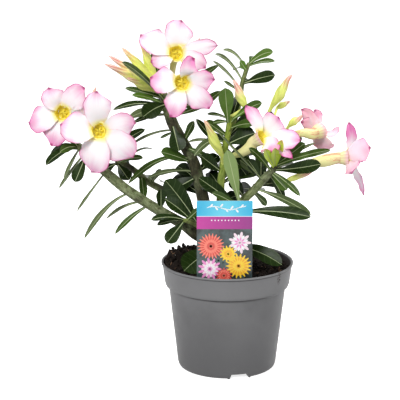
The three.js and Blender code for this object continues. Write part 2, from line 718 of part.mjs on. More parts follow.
function petals({ throat, faces, petals: rows }) {
  const centre = spot(...throat);
  const front = new THREE.Vector3(...faces).normalize();
  const funnel = [
    [THROAT_RADIUS, 0.3],
    [THROAT_RADIUS - THROAT_WALL, 0.3],
    [THROAT_FOOT_RADIUS - THROAT_WALL, -THROAT_DEPTH],
    [THROAT_FOOT_RADIUS, -THROAT_DEPTH],
    [THROAT_RADIUS, 0.3],
  ].map(([radius, height]) => new THREE.Vector2(radius, height));
  const collar = new THREE.LatheGeometry(funnel.reverse(), THROAT_SIDES);
  const turn = new THREE.Quaternion().setFromUnitVectors(new THREE.Vector3(0, 1, 0), front);
  collar.applyQuaternion(turn).translate(centre.x, centre.y, centre.z);
  return join([solidOf(collar), ...rows.map((row) => petal(centre, front, row))]);
}

const TUBE_SIDES = 8;

function tube({ throat, faces, tube: rows }) {
  const centre = spot(...throat);
  const front = new THREE.Vector3(...faces).normalize();
  const below = (depth) => centre.clone().addScaledVector(front, -depth);
  const stops = [
    [below(THROAT_DEPTH + GAP), THROAT_FOOT_RADIUS - 0.4],
    [below(THROAT_DEPTH + 5), THROAT_FOOT_RADIUS - 0.6],
    ...stemStops(rows),
  ];
  return rod(stops, TUBE_SIDES);
}

// Buds, by the branch that carries them
const TOP_BUD_BUNCH = [
  [-64, 268, 3, -75, 276, -8, -122, 298, -30, 4.8],
  [-64, 268, 3, -75, 279, -3, -118, 306, -16, 4.6],
  [-64, 268, 3, -73, 281, 0, -105, 314, -8, 4.6],
  [-64, 268, 3, -71, 283, 2, -88, 322, -2, 4.4],
  [-64, 268, 3, -74, 274, -11, -104, 299, -36, 4.6],
  [-64, 268, 3, -74, 272, -7, -100, 284, -34, 4.2],
];
const SINGLE_BUDS = {
  bud_top_back: [-56, 247, 6, -46, 282, 20, -27, 324, 28, 3.6],
  bud_left_back: [-143, 210, -20, -139, 240, -4, -131, 275, 4, 3.4],
  bud_middle_front: [-4, 196, -6, -5, 206, -14, -23, 242, -30, 4.8],
  bud_middle_top: [3, 245, -4, 19, 254, -4, 6, 282, -2, 4.6],
  bud_right_tall: [42, 250, 20, 45, 256, 19, 65, 287, 14, 5],
  bud_right_short: [47, 245, 19, 50, 254, 26, 63, 261, 30, 3.2],
  bud_right_green: [58, 231, 14, 62, 236, 12, 75, 247, 8, 3.8],
  bud_right_low: [44, 188, -4, 57, 180, -3, 86, 191, -2, 3],
};

const branch = (stems, leaves) => join([...stems.map((rows) => stem(rows)), ...leaves.map(leaf)]);

// What grows out of a stem starts inside it and is cut clear of it
function clearOf(solid, stems) {
  return solid.subtract(join(stems.map((rows) => stem(rows, GAP))));
}

// Colours, roughness and the finished pieces
const LOOKS = {
  pot: { color: 0x7c7c7e, roughness: 0.45 },
  soil: { color: 0x2a201b, roughness: 0.95 },
  label: { color: 0x3ab4d4, roughness: 0.3 },
  bark: { color: 0x6f7355, roughness: 0.7 },
  leaf: { color: 0x2f4d25, roughness: 0.4 },
  petal: { color: 0xf6cfe2, roughness: 0.5 },
  tube: { color: 0xd5dc7a, roughness: 0.5 },
  bud: { color: 0xc9d070, roughness: 0.5 },
};

const plant = new THREE.Group();

function place(name, solid, look) {
  const material = new THREE.MeshStandardMaterial({ ...LOOKS[look], metalness: 0 });
  const mesh = new THREE.Mesh(geometryOf(mainBody(solid)), material);
  mesh.name = name;
  plant.add(mesh);
}

place('pot', pot(), 'pot');
place('soil', soil(), 'soil');
place('plant_label', labelSolid(), 'label');
place('caudex', caudex(), 'bark');

const RIGHT_STEMS = [RIGHT_STEM, RIGHT_STALK, RIGHT_STALK_FORK];
const BRANCHES = {
  upright_branch: { stems: [UPRIGHT_STEM], leaves: UPRIGHT_LEAVES, beside: [] },
  left_branch: { stems: [LEFT_STEM], leaves: LEFT_LEAVES, beside: [UPRIGHT_STEM] },
  middle_left_branch: {
    stems: [MIDDLE_LEFT_STEM],
    leaves: MIDDLE_LEFT_LEAVES,
    beside: [UPRIGHT_STEM, LEFT_STEM],
  },
  centre_branch: { stems: [CENTRE_STEM], leaves: CENTRE_LEAVES, beside: [UPRIGHT_STEM, LEFT_STEM] },
  top_right_branch: { stems: [TOP_RIGHT_STEM], leaves: TOP_RIGHT_LEAVES, beside: [CENTRE_STEM] },
  right_branch: { stems: RIGHT_STEMS, leaves: RIGHT_LEAVES, beside: [UPRIGHT_STEM, CENTRE_STEM] },
  low_left_shoot: { stems: [LOW_LEFT_STEM], leaves: LOW_LEFT_LEAVES, beside: [LEFT_STEM, CENTRE_STEM] },
  low_right_shoot: { stems: [LOW_RIGHT_STEM], leaves: LOW_RIGHT_LEAVES, beside: [CENTRE_STEM, RIGHT_STEM] },
  base_left_leaf: { stems: [], leaves: BASE_LEFT_LEAF, beside: [LOW_LEFT_STEM] },
  base_right_leaf: { stems: [], leaves: BASE_RIGHT_LEAF, beside: [LOW_RIGHT_STEM] },
};

for (const [name, { stems, leaves, beside }] of Object.entries(BRANCHES)) {
  place(name, clearOf(branch(stems, leaves), [CAUDEX, ...beside]), 'leaf');
}

const CARRIERS = {
  bloom_left_front: [LEFT_STEM],
  bloom_left_back: [LEFT_STEM],
  bloom_top: [UPRIGHT_STEM],
  bloom_top_front: [UPRIGHT_STEM],
  bloom_middle: [CENTRE_STEM],
  bloom_right_back: RIGHT_STEMS,
  bloom_right_front: RIGHT_STEMS,
  top_bud_bunch: [UPRIGHT_STEM],
  bud_top_back: [UPRIGHT_STEM],
  bud_left_back: [LEFT_STEM],
  bud_middle_front: [CENTRE_STEM],
  bud_middle_top: [CENTRE_STEM],
  bud_right_tall: RIGHT_STEMS,
  bud_right_short: RIGHT_STEMS,
  bud_right_green: RIGHT_STEMS,
  bud_right_low: RIGHT_STEMS,
};

for (const bloom of BLOOMS) {
  place(`${bloom.name}_petals`, petals(bloom), 'petal');
  place(`${bloom.name}_tube`, clearOf(tube(bloom), CARRIERS[bloom.name]), 'tube');
}

place('top_bud_bunch', clearOf(join(TOP_BUD_BUNCH.map(bud)), CARRIERS.top_bud_bunch), 'bud');
for (const [name, row] of Object.entries(SINGLE_BUDS)) {
  place(name, clearOf(bud(row), CARRIERS[name]), 'bud');
}

export default plant;
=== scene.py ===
"""A potted desert rose (adenium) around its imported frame: leaves with ribs and veins, blooms with
pink edges and yellow throats, twisted buds, bark, crumbly soil, a satin nursery pot and a plant label.

Lengths are in millimetres up to finish_piece(), which turns each piece into metres. +Z is up and the
front of the plant faces -Y, as in the frame.
"""
import math
import random
from functools import partialmethod

import bmesh
import bpy
from mathutils import Matrix, Quaternion, Vector, noise


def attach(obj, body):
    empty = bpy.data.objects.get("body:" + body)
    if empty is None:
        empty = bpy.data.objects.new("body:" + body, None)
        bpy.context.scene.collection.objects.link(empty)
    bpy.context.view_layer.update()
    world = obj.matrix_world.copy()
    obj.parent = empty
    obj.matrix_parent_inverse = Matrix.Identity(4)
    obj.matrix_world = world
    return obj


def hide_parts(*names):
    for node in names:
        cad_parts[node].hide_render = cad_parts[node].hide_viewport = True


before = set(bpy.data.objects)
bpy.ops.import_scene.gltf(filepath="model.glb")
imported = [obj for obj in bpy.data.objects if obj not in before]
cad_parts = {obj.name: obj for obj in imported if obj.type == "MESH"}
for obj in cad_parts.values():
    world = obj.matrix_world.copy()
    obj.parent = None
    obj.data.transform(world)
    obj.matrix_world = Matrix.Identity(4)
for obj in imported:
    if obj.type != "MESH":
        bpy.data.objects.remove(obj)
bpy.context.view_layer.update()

MM = 0.001
FULL_TURN = 2 * math.pi
SEED = 7

# Driving dimensions of the pot, the soil and the label, as in the part's source
POT_HEIGHT = 107
RIM_RADIUS = 65.4
RIM_WALL = 2.4
BAND_RADIUS = 61.8
BAND_BOTTOM = 84.2
WALL_TOP_RADIUS = 58
FOOT_RADIUS = 49.2
POT_WALL = 1.5
LIP_HEIGHT = 2.2
STEP_HEIGHT = 2.4
NOTCH_COUNT = 3
NOTCH_FIRST_DEG = 14
NOTCH_WIDTH = 20
NOTCH_TOP_WIDTH = 16.5
NOTCH_HEIGHT = 5
NOTCH_REACH = 27
DRAIN_RADIUS = 4
DRAIN_AT = 36
SOIL_LEVEL = 100
MOUND_RISE = 15
MOUND_AT = (-38, 14)
MOUND_SPREAD = 25
SOIL_LUMP = 0.9
LABEL_WIDTH = 53
LABEL_TOP = 180
LABEL_BOTTOM = 97
LABEL_TAIL_TIP = 58
LABEL_TAIL_WIDTH = 15
LABEL_THICKNESS = 0.8
LABEL_X = -3.6
LABEL_Y = -50
LEAF_FOLD = 0.22
PETAL_CUP = 0.1
PETAL_WAVE = 0.05
PETAL_ROLL_DEG = 17
THROAT_RADIUS = 8.2
THROAT_FOOT_RADIUS = 6.2
THROAT_DEPTH = 7
THROAT_WALL = 1
GAP = 0.3

# Places in the plant are given as seen from the front: right of the pot's axis and above the foot on
# a picture plane EYE_REACH in front of the eye, and back along +Y
EYE = Vector((-27, -1320, 488))
EYE_PITCH = math.radians(13.6)
EYE_REACH = 1383
FOOT_BELOW_CENTRE = 162


def spot(right, up, back):
    across = (right - EYE.x) / EYE_REACH
    rise = (up - FOOT_BELOW_CENTRE) / EYE_REACH
    ahead = math.cos(EYE_PITCH) + rise * math.sin(EYE_PITCH)
    climb = rise * math.cos(EYE_PITCH) - math.sin(EYE_PITCH)
    reach = (back - EYE.y) / ahead
    return Vector((EYE.x + across * reach, back, EYE.z + climb * reach))


# The plant: stems are rows of right, up, back, radius. Leaf rows are base right, up, back, tip right,
# up, back, width, turn in degrees from facing the front towards facing up, and arch.
CAUDEX = [
    [-5, 66, 4, 9], [-5, 84, 4, 18], [-5, 102, 3, 20], [-6, 116, 2, 17], [-8, 126, 2, 13],
    [-9, 134, 2, 9],
]

LEFT_STEM = [
    [-8, 119, 0, 6.4], [-30, 127, -6, 5.6], [-44, 138, -9, 5.4], [-67, 151, -13, 5.2],
    [-97, 170, -18, 5], [-117, 186, -22, 4.8], [-129, 197, -23, 4.4], [-141, 208, -21, 3.8],
    [-150, 217, -18, 3],
]

LEFT_LEAVES = [
    [-149, 213, -19, -181, 197, -34, 11, 45, 5], [-148, 214, -19, -167, 210, -40, 9, 20, 3],
    [-148, 213, -18, -163, 183, -26, 6, 50, 1], [-143, 208, -20, -168, 174, -12, 6, 55, 0],
    [-141, 207, -21, -152, 180, -34, 12, 15, 0], [-149, 215, -20, -159, 229, -37, 9, 20, 0],
    [-122, 190, -22, -150, 151, -30, 5, 60, 0], [-97, 169, -18, -143, 123, -30, 7, 45, 8],
    [-85, 160, -15, -121, 143, -6, 5, 40, 4], [-79, 156, -14, -112, 128, -26, 7, 35, 3],
    [-66, 150, -13, -66, 173, -22, 10, 10, 0], [-139, 207, -21, -110, 240, 4, 9, 30, 0],
    [-130, 198, -22, -82, 233, 6, 10, 35, 3], [-141, 208, -20, -116, 226, 24, 12, 40, 4],
    [-148, 214, -17, -177, 207, 14, 12, 45, 4], [-146, 213, -18, -142, 214, 20, 12, 60, 4],
]

MIDDLE_LEFT_STEM = [
    [-9, 126, 5, 5.4], [-26, 141, 10, 4.4], [-52, 165, 15, 3.7], [-77, 179, 18, 3.4],
    [-99, 196, 14, 2.9], [-111, 199, 8, 2.2],
]

MIDDLE_LEFT_LEAVES = [
    [-110, 199, 8, -98, 182, -8, 13, 15, 0], [-110, 199, 9, -84, 204, -4, 7, 40, 2],
    [-110, 199, 8, -128, 190, 0, 11, 10, 0], [-104, 198, 11, -74, 213, 26, 4, 55, 6],
    [-86, 187, 17, -83, 163, 4, 9, 20, 4], [-76, 179, 17, -66, 193, 4, 6, 30, 0],
    [-96, 194, 15, -110, 200, 44, 12, 60, 4], [-72, 176, 17, -84, 186, 48, 12, 60, 5],
    [-56, 168, 15, -66, 180, 46, 12, 60, 5],
]

UPRIGHT_STEM = [
    [-8, 124, 4, 7.4], [-20, 150, 7, 6.4], [-27, 177, 8, 6], [-31, 192, 8, 6], [-36, 205, 8, 5.8],
    [-48, 227, 8, 5.5], [-55, 240, 7, 5.4], [-61, 259, 5, 4.8], [-64, 270, 4, 3.6],
]

UPRIGHT_LEAVES = [
    [-62, 255, 5, -114, 252, -6, 8, 45, 5], [-61, 252, 4, -98, 244, -16, 9, 30, 3],
    [-58, 247, 4, -94, 239, -2, 6, 35, 3], [-63, 263, 8, -102, 274, 16, 7, 30, 1],
    [-62, 260, 8, -88, 276, 26, 10, 30, 2], [-62, 261, 0, -105, 300, -64, 8, 40, 4],
    [-63, 266, 8, -96, 303, 34, 8, 40, 3], [-64, 267, 8, -74, 312, 22, 10, 20, 2],
    [-60, 258, 3, -84, 245, -28, 17, 15, 2], [-57, 246, 5, -6, 271, -6, 10, 30, -4],
    [-58, 254, 6, -10, 266, 14, 9, 30, -2], [-60, 255, 5, -8, 297, 20, 8, 35, 3],
    [-54, 236, 2, -48, 211, -8, 17, 10, 0], [-51, 232, 7, -96, 217, 8, 5, 55, 4],
    [-51, 231, 9, -67, 224, 16, 4, 40, 0], [-44, 219, 7, -33, 241, -2, 8, 20, 0],
    [-34, 199, 6, -66, 210, -12, 14, 35, 1], [-40, 214, 4, -14, 198, -12, 9, 30, 2],
    [-29, 186, 5, -56, 171, 2, 16, 20, 0], [-36, 203, 4, -99, 178, -14, 8, 45, 11],
    [-31, 190, 6, -79, 184, -4, 7, 45, 4], [-63, 265, 7, -64, 288, 52, 14, 50, 5],
    [-62, 264, 6, -76, 296, 46, 14, 50, 5], [-60, 256, 7, -38, 268, 50, 13, 60, 4],
    [-58, 250, 7, -80, 262, 44, 13, 60, 4], [-40, 212, 10, -52, 226, 48, 13, 60, 4],
    [-32, 194, 10, -46, 204, 54, 13, 60, 5], [-63, 258, 5, -95, 267, -12, 6, 30, 2],
    [-22, 164, 10, -54, 184, 24, 16, 20, 2], [-30, 188, 8, -8, 206, 24, 14, 20, 2],
    [-25, 171, 9, -10, 182, 34, 13, 20, 2], [-27, 178, 8, -50, 196, 36, 14, 20, 2],
]

CENTRE_STEM = [
    [-9, 126, 0, 5.2], [-7, 152, -4, 4.2], [-6, 180, -6, 3.7], [-4, 197, -6, 3.5],
    [-2, 214, -6, 3.3], [1, 228, -5, 3.1], [3, 246, -4, 2.6],
]

CENTRE_LEAVES = [
    [-5, 190, -6, -26, 206, -22, 14, 15, 0], [1, 239, -7, -2, 274, -18, 15, 10, 0],
    [2, 234, -4, 13, 270, 8, 9, 25, 0], [3, 239, -6, 35, 259, -17, 10, 25, 3],
    [3, 241, -5, 22, 254, -18, 4, 30, 0], [-1, 217, -5, 28, 229, -8, 18, 15, 1],
    [2, 233, -6, 27, 238, -14, 12, 45, 2], [0, 226, -5, -21, 241, -22, 9, 30, 0],
    [2, 240, -5, -14, 239, -18, 5, 30, 1], [3, 242, -4, -20, 248, 2, 4, 30, 2],
    [-3, 210, -5, -31, 243, -12, 8, 20, 0], [-2, 219, -5, -33, 206, -18, 8, 30, 8],
    [-2, 216, -5, -39, 220, 0, 4, 40, 4], [-2, 216, -4, -10, 222, 44, 13, 60, 5],
    [1, 222, -4, 24, 226, 42, 13, 60, 5], [-3, 206, -4, 2, 206, 44, 14, 60, 5],
    [-5, 192, -4, -14, 190, 42, 14, 60, 5], [-5, 186, -4, 12, 182, 38, 14, 55, 5],
    [-5, 182, -5, 22, 206, 14, 14, 20, 2], [-6, 178, -5, 30, 190, 22, 14, 25, 3],
    [-1, 214, -4, 20, 186, 12, 13, 20, 0], [-3, 202, -4, 30, 214, 20, 16, 20, 2],
    [-4, 197, -4, 27, 196, 26, 15, 25, 2], [0, 224, -4, 27, 247, 24, 13, 25, 2],
    [-1, 219, -4, -20, 224, 24, 12, 30, 2], [-6, 166, -4, -27, 180, 8, 13, 20, 1],
    [-6, 172, -4, -18, 190, 34, 13, 20, 2], [-7, 158, -3, 12, 166, 26, 14, 20, 2],
]

TOP_RIGHT_STEM = [
    [1, 229, -4, 2.6], [9, 246, 8, 2.6], [13, 264, 14, 2.5], [15, 277, 16, 2.3], [18, 288, 17, 2.2],
    [22, 299, 18, 1.9],
]

TOP_RIGHT_LEAVES = [
    [22, 298, 18, 46, 310, 8, 9, 25, 3], [22, 296, 18, 48, 301, 26, 6, 35, 2],
    [15, 278, 16, 48, 287, 2, 12, 10, 1], [20, 292, 17, -4, 312, 14, 4, 40, 6],
    [16, 280, 16, -12, 308, 24, 5, 40, 6], [14, 272, 15, -14, 301, 6, 4, 40, 3],
    [14, 270, 15, -3, 281, 2, 4, 40, 0], [20, 291, 17, 13, 301, 8, 7, 20, 0],
    [22, 298, 18, 30, 304, 44, 10, 60, 4], [20, 290, 18, 8, 292, 44, 10, 60, 4],
    [15, 278, 16, 26, 280, 42, 10, 60, 3],
]

RIGHT_STEM = [
    [-2, 122, 4, 6.4], [10, 146, 0, 5], [17, 162, -3, 4.3], [26, 171, -5, 4.1], [36, 182, -6, 4],
    [44, 190, -6, 3.7], [49, 197, -4, 3],
]

RIGHT_STALK = [
    [47, 194, -5, 2.2], [54, 212, 6, 2.4], [58, 226, 12, 2.3], [58, 233, 14, 2],
]

RIGHT_STALK_FORK = [
    [57, 224, 12, 2], [50, 240, 18, 2], [42, 251, 20, 1.8],
]

RIGHT_LEAVES = [
    [44, 191, -9, 22, 214, -40, 7, 20, 2], [48, 196, -8, 55, 222, -48, 8, 10, 0],
    [47, 195, -8, 38, 213, -54, 8, 10, 0], [48, 196, -8, 48, 214, -56, 8, 10, 0],
    [47, 192, -7, 94, 198, -22, 14, 10, -1], [48, 196, -6, 84, 208, -17, 8, 30, 1],
    [48, 196, -4, 104, 212, 12, 8, 25, 2], [48, 196, -3, 78, 219, 0, 10, 20, 0],
    [49, 197, -2, 88, 219, 14, 4, 30, 2], [49, 197, -2, 74, 226, 24, 10, 25, 0],
    [44, 189, -8, 60, 172, -20, 10, 15, 0], [45, 190, -8, 73, 166, -24, 7, 25, 2],
    [42, 187, -3, 57, 163, 4, 9, 25, 2], [28, 173, -7, 84, 147, -20, 10, 30, 3],
    [36, 182, -9, -11, 232, -44, 5, 60, 0], [36, 184, -4, 13, 202, 2, 10, 20, 0],
    [26, 171, -3, 40, 157, 10, 8, 30, 0], [45, 192, -3, 52, 212, 44, 13, 60, 4],
    [45, 191, -3, 72, 196, 42, 13, 60, 4], [38, 184, -3, 40, 182, 44, 13, 60, 4],
    [26, 171, -2, 34, 172, 42, 13, 60, 4], [34, 180, -3, 34, 210, 24, 14, 20, 2],
    [18, 163, -1, 4, 182, 12, 13, 20, 1], [30, 175, -3, 52, 178, 18, 12, 30, 2],
    [35, 181, -6, 21, 202, -12, 11, 20, 1], [27, 171, -3, 11, 172, 30, 14, 20, 2],
    [38, 185, -3, 34, 206, 40, 12, 20, 2],
]

LOW_LEFT_STEM = [
    [-8, 122, -2, 4], [-22, 132, -16, 3.2], [-36, 140, -24, 2.6], [-44, 142, -27, 2.1],
]

LOW_LEFT_LEAVES = [
    [-27, 135, -19, -62, 182, -12, 20, 10, 2], [-32, 138, -22, -62, 163, -30, 14, 30, 2],
    [-42, 142, -27, -76, 142, -36, 8, 35, 3], [-42, 141, -27, -70, 137, -28, 10, 50, 2],
    [-43, 141, -27, -60, 119, -38, 14, 10, 0], [-40, 142, -26, -28, 153, -38, 7, 25, 0],
]

LOW_RIGHT_STEM = [
    [-2, 120, -2, 4.4], [6, 136, -14, 3.4], [11, 149, -20, 2.8], [13, 158, -22, 2.2],
]

LOW_RIGHT_LEAVES = [
    [12, 150, -20, 84, 145, -36, 13, 15, 3], [12, 156, -22, -28, 184, -20, 14, 20, 0],
    [12, 154, -21, -15, 169, -34, 8, 30, 2], [13, 157, -22, 0, 212, -30, 13, 5, 0],
]

BLOOMS = [
    {
        "name": "bloom_left_front",
        "throat": [-128, 231, -44], "faces": [0.05, -0.97, 0.2],
        "tube": [[-133, 228, -28, 4.6], [-137, 222, -22, 3], [-140, 214, -21, 1.8], [-141, 208, -21, 1.6]],
        "petals": [[-130, 268, -46, 27, 5], [-94, 238, -42, 26, 5], [-96, 206, -46, 31, 5],
                   [-135, 192, -44, 31, 5], [-164, 237, -50, 31, 5]],
    },
    {
        "name": "bloom_left_back",
        "throat": [-165, 249, -24], "faces": [-0.15, -0.95, 0.2],
        "tube": [[-162, 246, -8, 4.6], [-158, 238, -2, 3], [-153, 226, -9, 1.8], [-149, 216, -18, 1.6]],
        "petals": [[-177, 272, -24, 23, 4], [-144, 272, -22, 24, 4], [-138, 245, -14, 22, 3],
                   [-175, 219, -30, 26, 4], [-196, 240, -22, 27, 4]],
    },
    {
        "name": "bloom_top",
        "throat": [-51, 309, -8], "faces": [0, -0.93, 0.33],
        "tube": [[-52, 304, 8, 4.6], [-54, 296, 16, 3.2], [-56, 274, 15, 1.8], [-60, 257, 5, 1.6]],
        "petals": [[-84, 326, -6, 27, 4], [-46, 339, -2, 28, 4], [-12, 316, -4, 16, 4],
                   [-24, 295, -12, 20, 4], [-74, 301, -14, 22, 4]],
    },
    {
        "name": "bloom_top_front",
        "throat": [-45, 279, -36], "faces": [0.1, -0.97, 0.1],
        "tube": [[-48, 276, -18, 4.6], [-52, 272, -8, 3], [-58, 266, 0, 1.8], [-63, 264, 4, 1.6]],
        "petals": [[-74, 284, -36, 26, 4], [-34, 301, -34, 20, 8], [-15, 282, -38, 21, 4],
                   [-20, 255, -38, 23, 4], [-56, 248, -40, 22, 4]],
    },
    {
        "name": "bloom_middle",
        "throat": [36, 225, -28], "faces": [0.74, -0.42, 0.52],
        "tube": [[23, 215, -22, 5.4], [14, 209, -18, 4], [4, 206, -10, 2.2], [-3, 206, -6, 1.6]],
        "petals": [[20, 254, -24, 15, 3, -35], [50, 243, -16, 27, 5, -5], [71, 222, -24, 22, 3],
                   [63, 205, -34, 14, 3], [43, 211, -42, 20, 3, 75]],
    },
    {
        "name": "bloom_right_back",
        "throat": [93, 231, 20], "faces": [0.7, 0.68, 0.12],
        "tube": [[77, 229, 12, 4.4], [69, 228, 10, 3.2], [62, 227, 9, 2], [57, 221, 10, 1.5]],
        "petals": [[76, 251, 26, 14, 2], [88, 250, 30, 14, 2], [106, 232, 26, 20, 2, 70],
                   [97, 213, 22, 30, 2, 5], [76, 239, 26, 14, 2]],
    },
    {
        "name": "bloom_right_front",
        "throat": [122, 204, -8], "faces": [0.96, -0.2, 0.05],
        "tube": [[96, 201, -5, 6], [82, 199, -4, 3.2], [66, 194, 2, 1.8], [47, 193, -5, 1.6]],
        "petals": [[122, 237, -8, 14, 3, -40], [140, 209, 10, 17, 3], [136, 169, 2, 13, 3],
                   [124, 190, -26, 20, 3, -50], [141, 214, -20, 26, 3]],
    },
]

TOP_BUD_BUNCH = [
    [-64, 268, 3, -75, 276, -8, -122, 298, -30, 4.8],
    [-64, 268, 3, -75, 279, -3, -118, 306, -16, 4.6],
    [-64, 268, 3, -73, 281, 0, -105, 314, -8, 4.6], [-64, 268, 3, -71, 283, 2, -88, 322, -2, 4.4],
    [-64, 268, 3, -74, 274, -11, -104, 299, -36, 4.6],
    [-64, 268, 3, -74, 272, -7, -100, 284, -34, 4.2],
]

SINGLE_BUDS = {
    "bud_top_back": [-56, 247, 6, -46, 282, 20, -27, 324, 28, 3.6],
    "bud_left_back": [-143, 210, -20, -139, 240, -4, -131, 275, 4, 3.4],
    "bud_middle_front": [-4, 196, -6, -5, 206, -14, -23, 242, -30, 4.8],
    "bud_middle_top": [3, 245, -4, 19, 254, -4, 6, 282, -2, 4.6],
    "bud_right_tall": [42, 250, 20, 45, 256, 19, 65, 287, 14, 5],
    "bud_right_short": [47, 245, 19, 50, 254, 26, 63, 261, 30, 3.2],
    "bud_right_green": [58, 231, 14, 62, 236, 12, 75, 247, 8, 3.8],
    "bud_right_low": [44, 188, -4, 57, 180, -3, 86, 191, -2, 3],
}

BASE_LEFT_LEAF = [[-14, 110, -14, -43, 91, -38, 24, 10, 3]]

BASE_RIGHT_LEAF = [[1, 116, -7, 55, 97, -28, 16, 20, 5]]

# How each leaf looks, in the order of its rows: d dark, m middle green, y young, b bright and just
# opened, f fresh, g grey-green, o olive, p the pale underside
LEAF_LOOKS = {
    "left_branch": "dmggdmgggmdmdmdd",
    "middle_left_branch": "dmdgmgddd",
    "upright_branch": "dgdmdmmmdmmmdgmmmmdmgddddddydddd",
    "centre_branch": "dfdmydmmmmdogdddddmmdddddddd",
    "top_right_branch": "ffdgggmymmd",
    "right_branch": "mbbbdmmmgmmmdooomdddddddddd",
    "low_left_shoot": "dddddm",
    "low_right_shoot": "ddmp",
    "base_left_leaf": "d",
    "base_right_leaf": "d",
}
# Tint of a leaf from dark (0) to young (1) and bright (2), and how grey it is
LOOKS = {
    "d": (0.0, 0.0), "m": (0.3, 0.05), "y": (1.0, 0.0), "b": (2.0, 0.0),
    "f": (0.65, 0.1), "g": (0.25, 0.85), "o": (0.2, 0.5), "p": (1.0, 0.9),
}


# Smooth curves through given stops

def smooth_path(points, steps):
    """Points of a curve that runs smoothly through the given ones, with so many steps to a stretch."""
    path = []
    last = len(points) - 1
    for index in range(last):
        before, start = points[max(index - 1, 0)], points[index]
        end, after = points[index + 1], points[min(index + 2, last)]
        for step in range(steps):
            t = step / steps
            path.append(
                0.5 * (2 * start + (end - before) * t
                       + (2 * before - 5 * start + 4 * end - after) * t * t
                       + (3 * start - before - 3 * end + after) * t ** 3))
    path.append(points[last])
    return path


def curve_value(stops, t):
    """Height at t of a smooth curve through (place, value) stops."""
    last = len(stops) - 1
    index = 0
    while index < last - 1 and t > stops[index + 1][0]:
        index += 1
    (t0, v0), (t1, v1) = stops[index], stops[index + 1]
    span = t1 - t0

    def slope(i):
        low, high = stops[max(i - 1, 0)], stops[min(i + 1, last)]
        return (high[1] - low[1]) / (high[0] - low[0])

    u = min(max((t - t0) / span, 0), 1)
    a, b = slope(index) * span, slope(index + 1) * span
    rest = v1 - v0
    return v0 + a * u + (3 * rest - 2 * a - b) * u * u + (a + b - 2 * rest) * u ** 3


def blade_share(outline, power, corner, t):
    """A blade's share of its width at t: the outline up to its last stop, then round to the tip."""
    widest = outline[-1][0]
    far = max(t - widest, 0) / (1 - widest)
    return curve_value(outline, min(t, widest)) * max(1 - far ** power, 0) ** corner


def ring_point(radius, angle, z=0.0):
    return Vector((radius * math.cos(angle), radius * math.sin(angle), z))


# Sheets: a grid whose points a formula puts in place, with what the materials read

def new_bmesh():
    bm = bmesh.new()
    bm.verts.layers.float_vector.new("blade")
    bm.verts.layers.float_vector.new("tone")
    return bm


def verts_of(geometry):
    return [part for part in geometry if isinstance(part, bmesh.types.BMVert)]


def give_material(verts, material):
    for face in {face for vert in verts for face in vert.link_faces}:
        face.material_index = material


def add_sheet(bm, columns, rows, place, material=0):
    """place(s, t) gives a point's place, and the blade and tone values of the point, for s and t 0 to 1."""
    blade = bm.verts.layers.float_vector["blade"]
    tone = bm.verts.layers.float_vector["tone"]
    verts = bmesh.ops.create_grid(bm, x_segments=columns, y_segments=rows, size=1)["verts"]
    for vert in verts:
        s, t = (vert.co.x + 1) / 2, (vert.co.y + 1) / 2
        vert.co, vert[blade], vert[tone] = place(s, t)
    give_material(verts, material)


# The hollow at the start of a sunk rod: share of its depth and of the rod's radius
WELL = [(1, 0), (0.7, 0.5), (0.25, 0.92)]


def add_rod(bm, stops, sides, tones, shape=lambda angle, share: 1, sunk=0):
    """A closed round rod through stops of (x, y, z, radius). shape(angle, share) widens or narrows it.

    tones are the tone values at its start and end. sunk is how deep its start is hollowed out, where
    the third tone value is 1.
    """
    points = [Vector(stop[:3]) for stop in stops]
    rings = []
    across = Vector((0, -1, 0.1))
    length = 0
    for index, point in enumerate(points):
        before, after = points[max(index - 1, 0)], points[min(index + 1, len(points) - 1)]
        along = (after - before).normalized()
        across = (across - along * across.dot(along)).normalized()
        length += (point - before).length
        rings.append((point, across.copy(), along.cross(across), stops[index][3], length))
    # A pole closes each end
    foot, *ways, radius, _ = rings[0]
    inward = (points[1] - foot).normalized()
    start = [(foot + inward * (sunk * depth), *ways, radius * share, 0)
             for depth, share in (WELL if sunk else WELL[:1])]
    rings = start + rings + [(*rings[-1][:3], 0, length)]
    count = len(rings) - 1

    def place(s, t):
        ring = round(t * count)
        point, first_way, other_way, radius, far = rings[ring]
        angle = FULL_TURN * s
        share = far / length
        reach = radius * shape(angle, share)
        co = point + first_way * (reach * math.cos(angle)) + other_way * (reach * math.sin(angle))
        tone = Vector(tones[0]).lerp(Vector(tones[-1]), share)
        if ring < len(start) and sunk:
            tone.z = 1
        return co, Vector((s, share, far)), tone

    add_sheet(bm, sides, count, place)


def in_scene(name, data):
    thing = bpy.data.objects.new(name, data)
    bpy.context.scene.collection.objects.link(thing)
    return thing


def new_object(name, bm):
    mesh = bpy.data.meshes.new(name)
    bm.to_mesh(mesh)
    bm.free()
    return in_scene(name, mesh)


SHARP_ANGLE = math.radians(55)
WELD = 1e-4


def finish_piece(name, bm, materials, nodes=()):
    """Turns a bmesh in millimetres into a finished piece in metres that rides on the frame."""
    bmesh.ops.remove_doubles(bm, verts=bm.verts, dist=WELD)
    bmesh.ops.dissolve_degenerate(bm, edges=bm.edges, dist=WELD)
    bmesh.ops.recalc_face_normals(bm, faces=bm.faces)
    bmesh.ops.scale(bm, vec=(MM, MM, MM), verts=bm.verts)
    for face in bm.faces:
        face.smooth = True
    for edge in bm.edges:
        edge.smooth = len(edge.link_faces) == 2 and edge.calc_face_angle() < SHARP_ANGLE
    piece = new_object(name, bm)
    for material in materials:
        piece.data.materials.append(material)
    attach(piece, "root")
    if nodes:
        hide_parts(*nodes)


# Materials

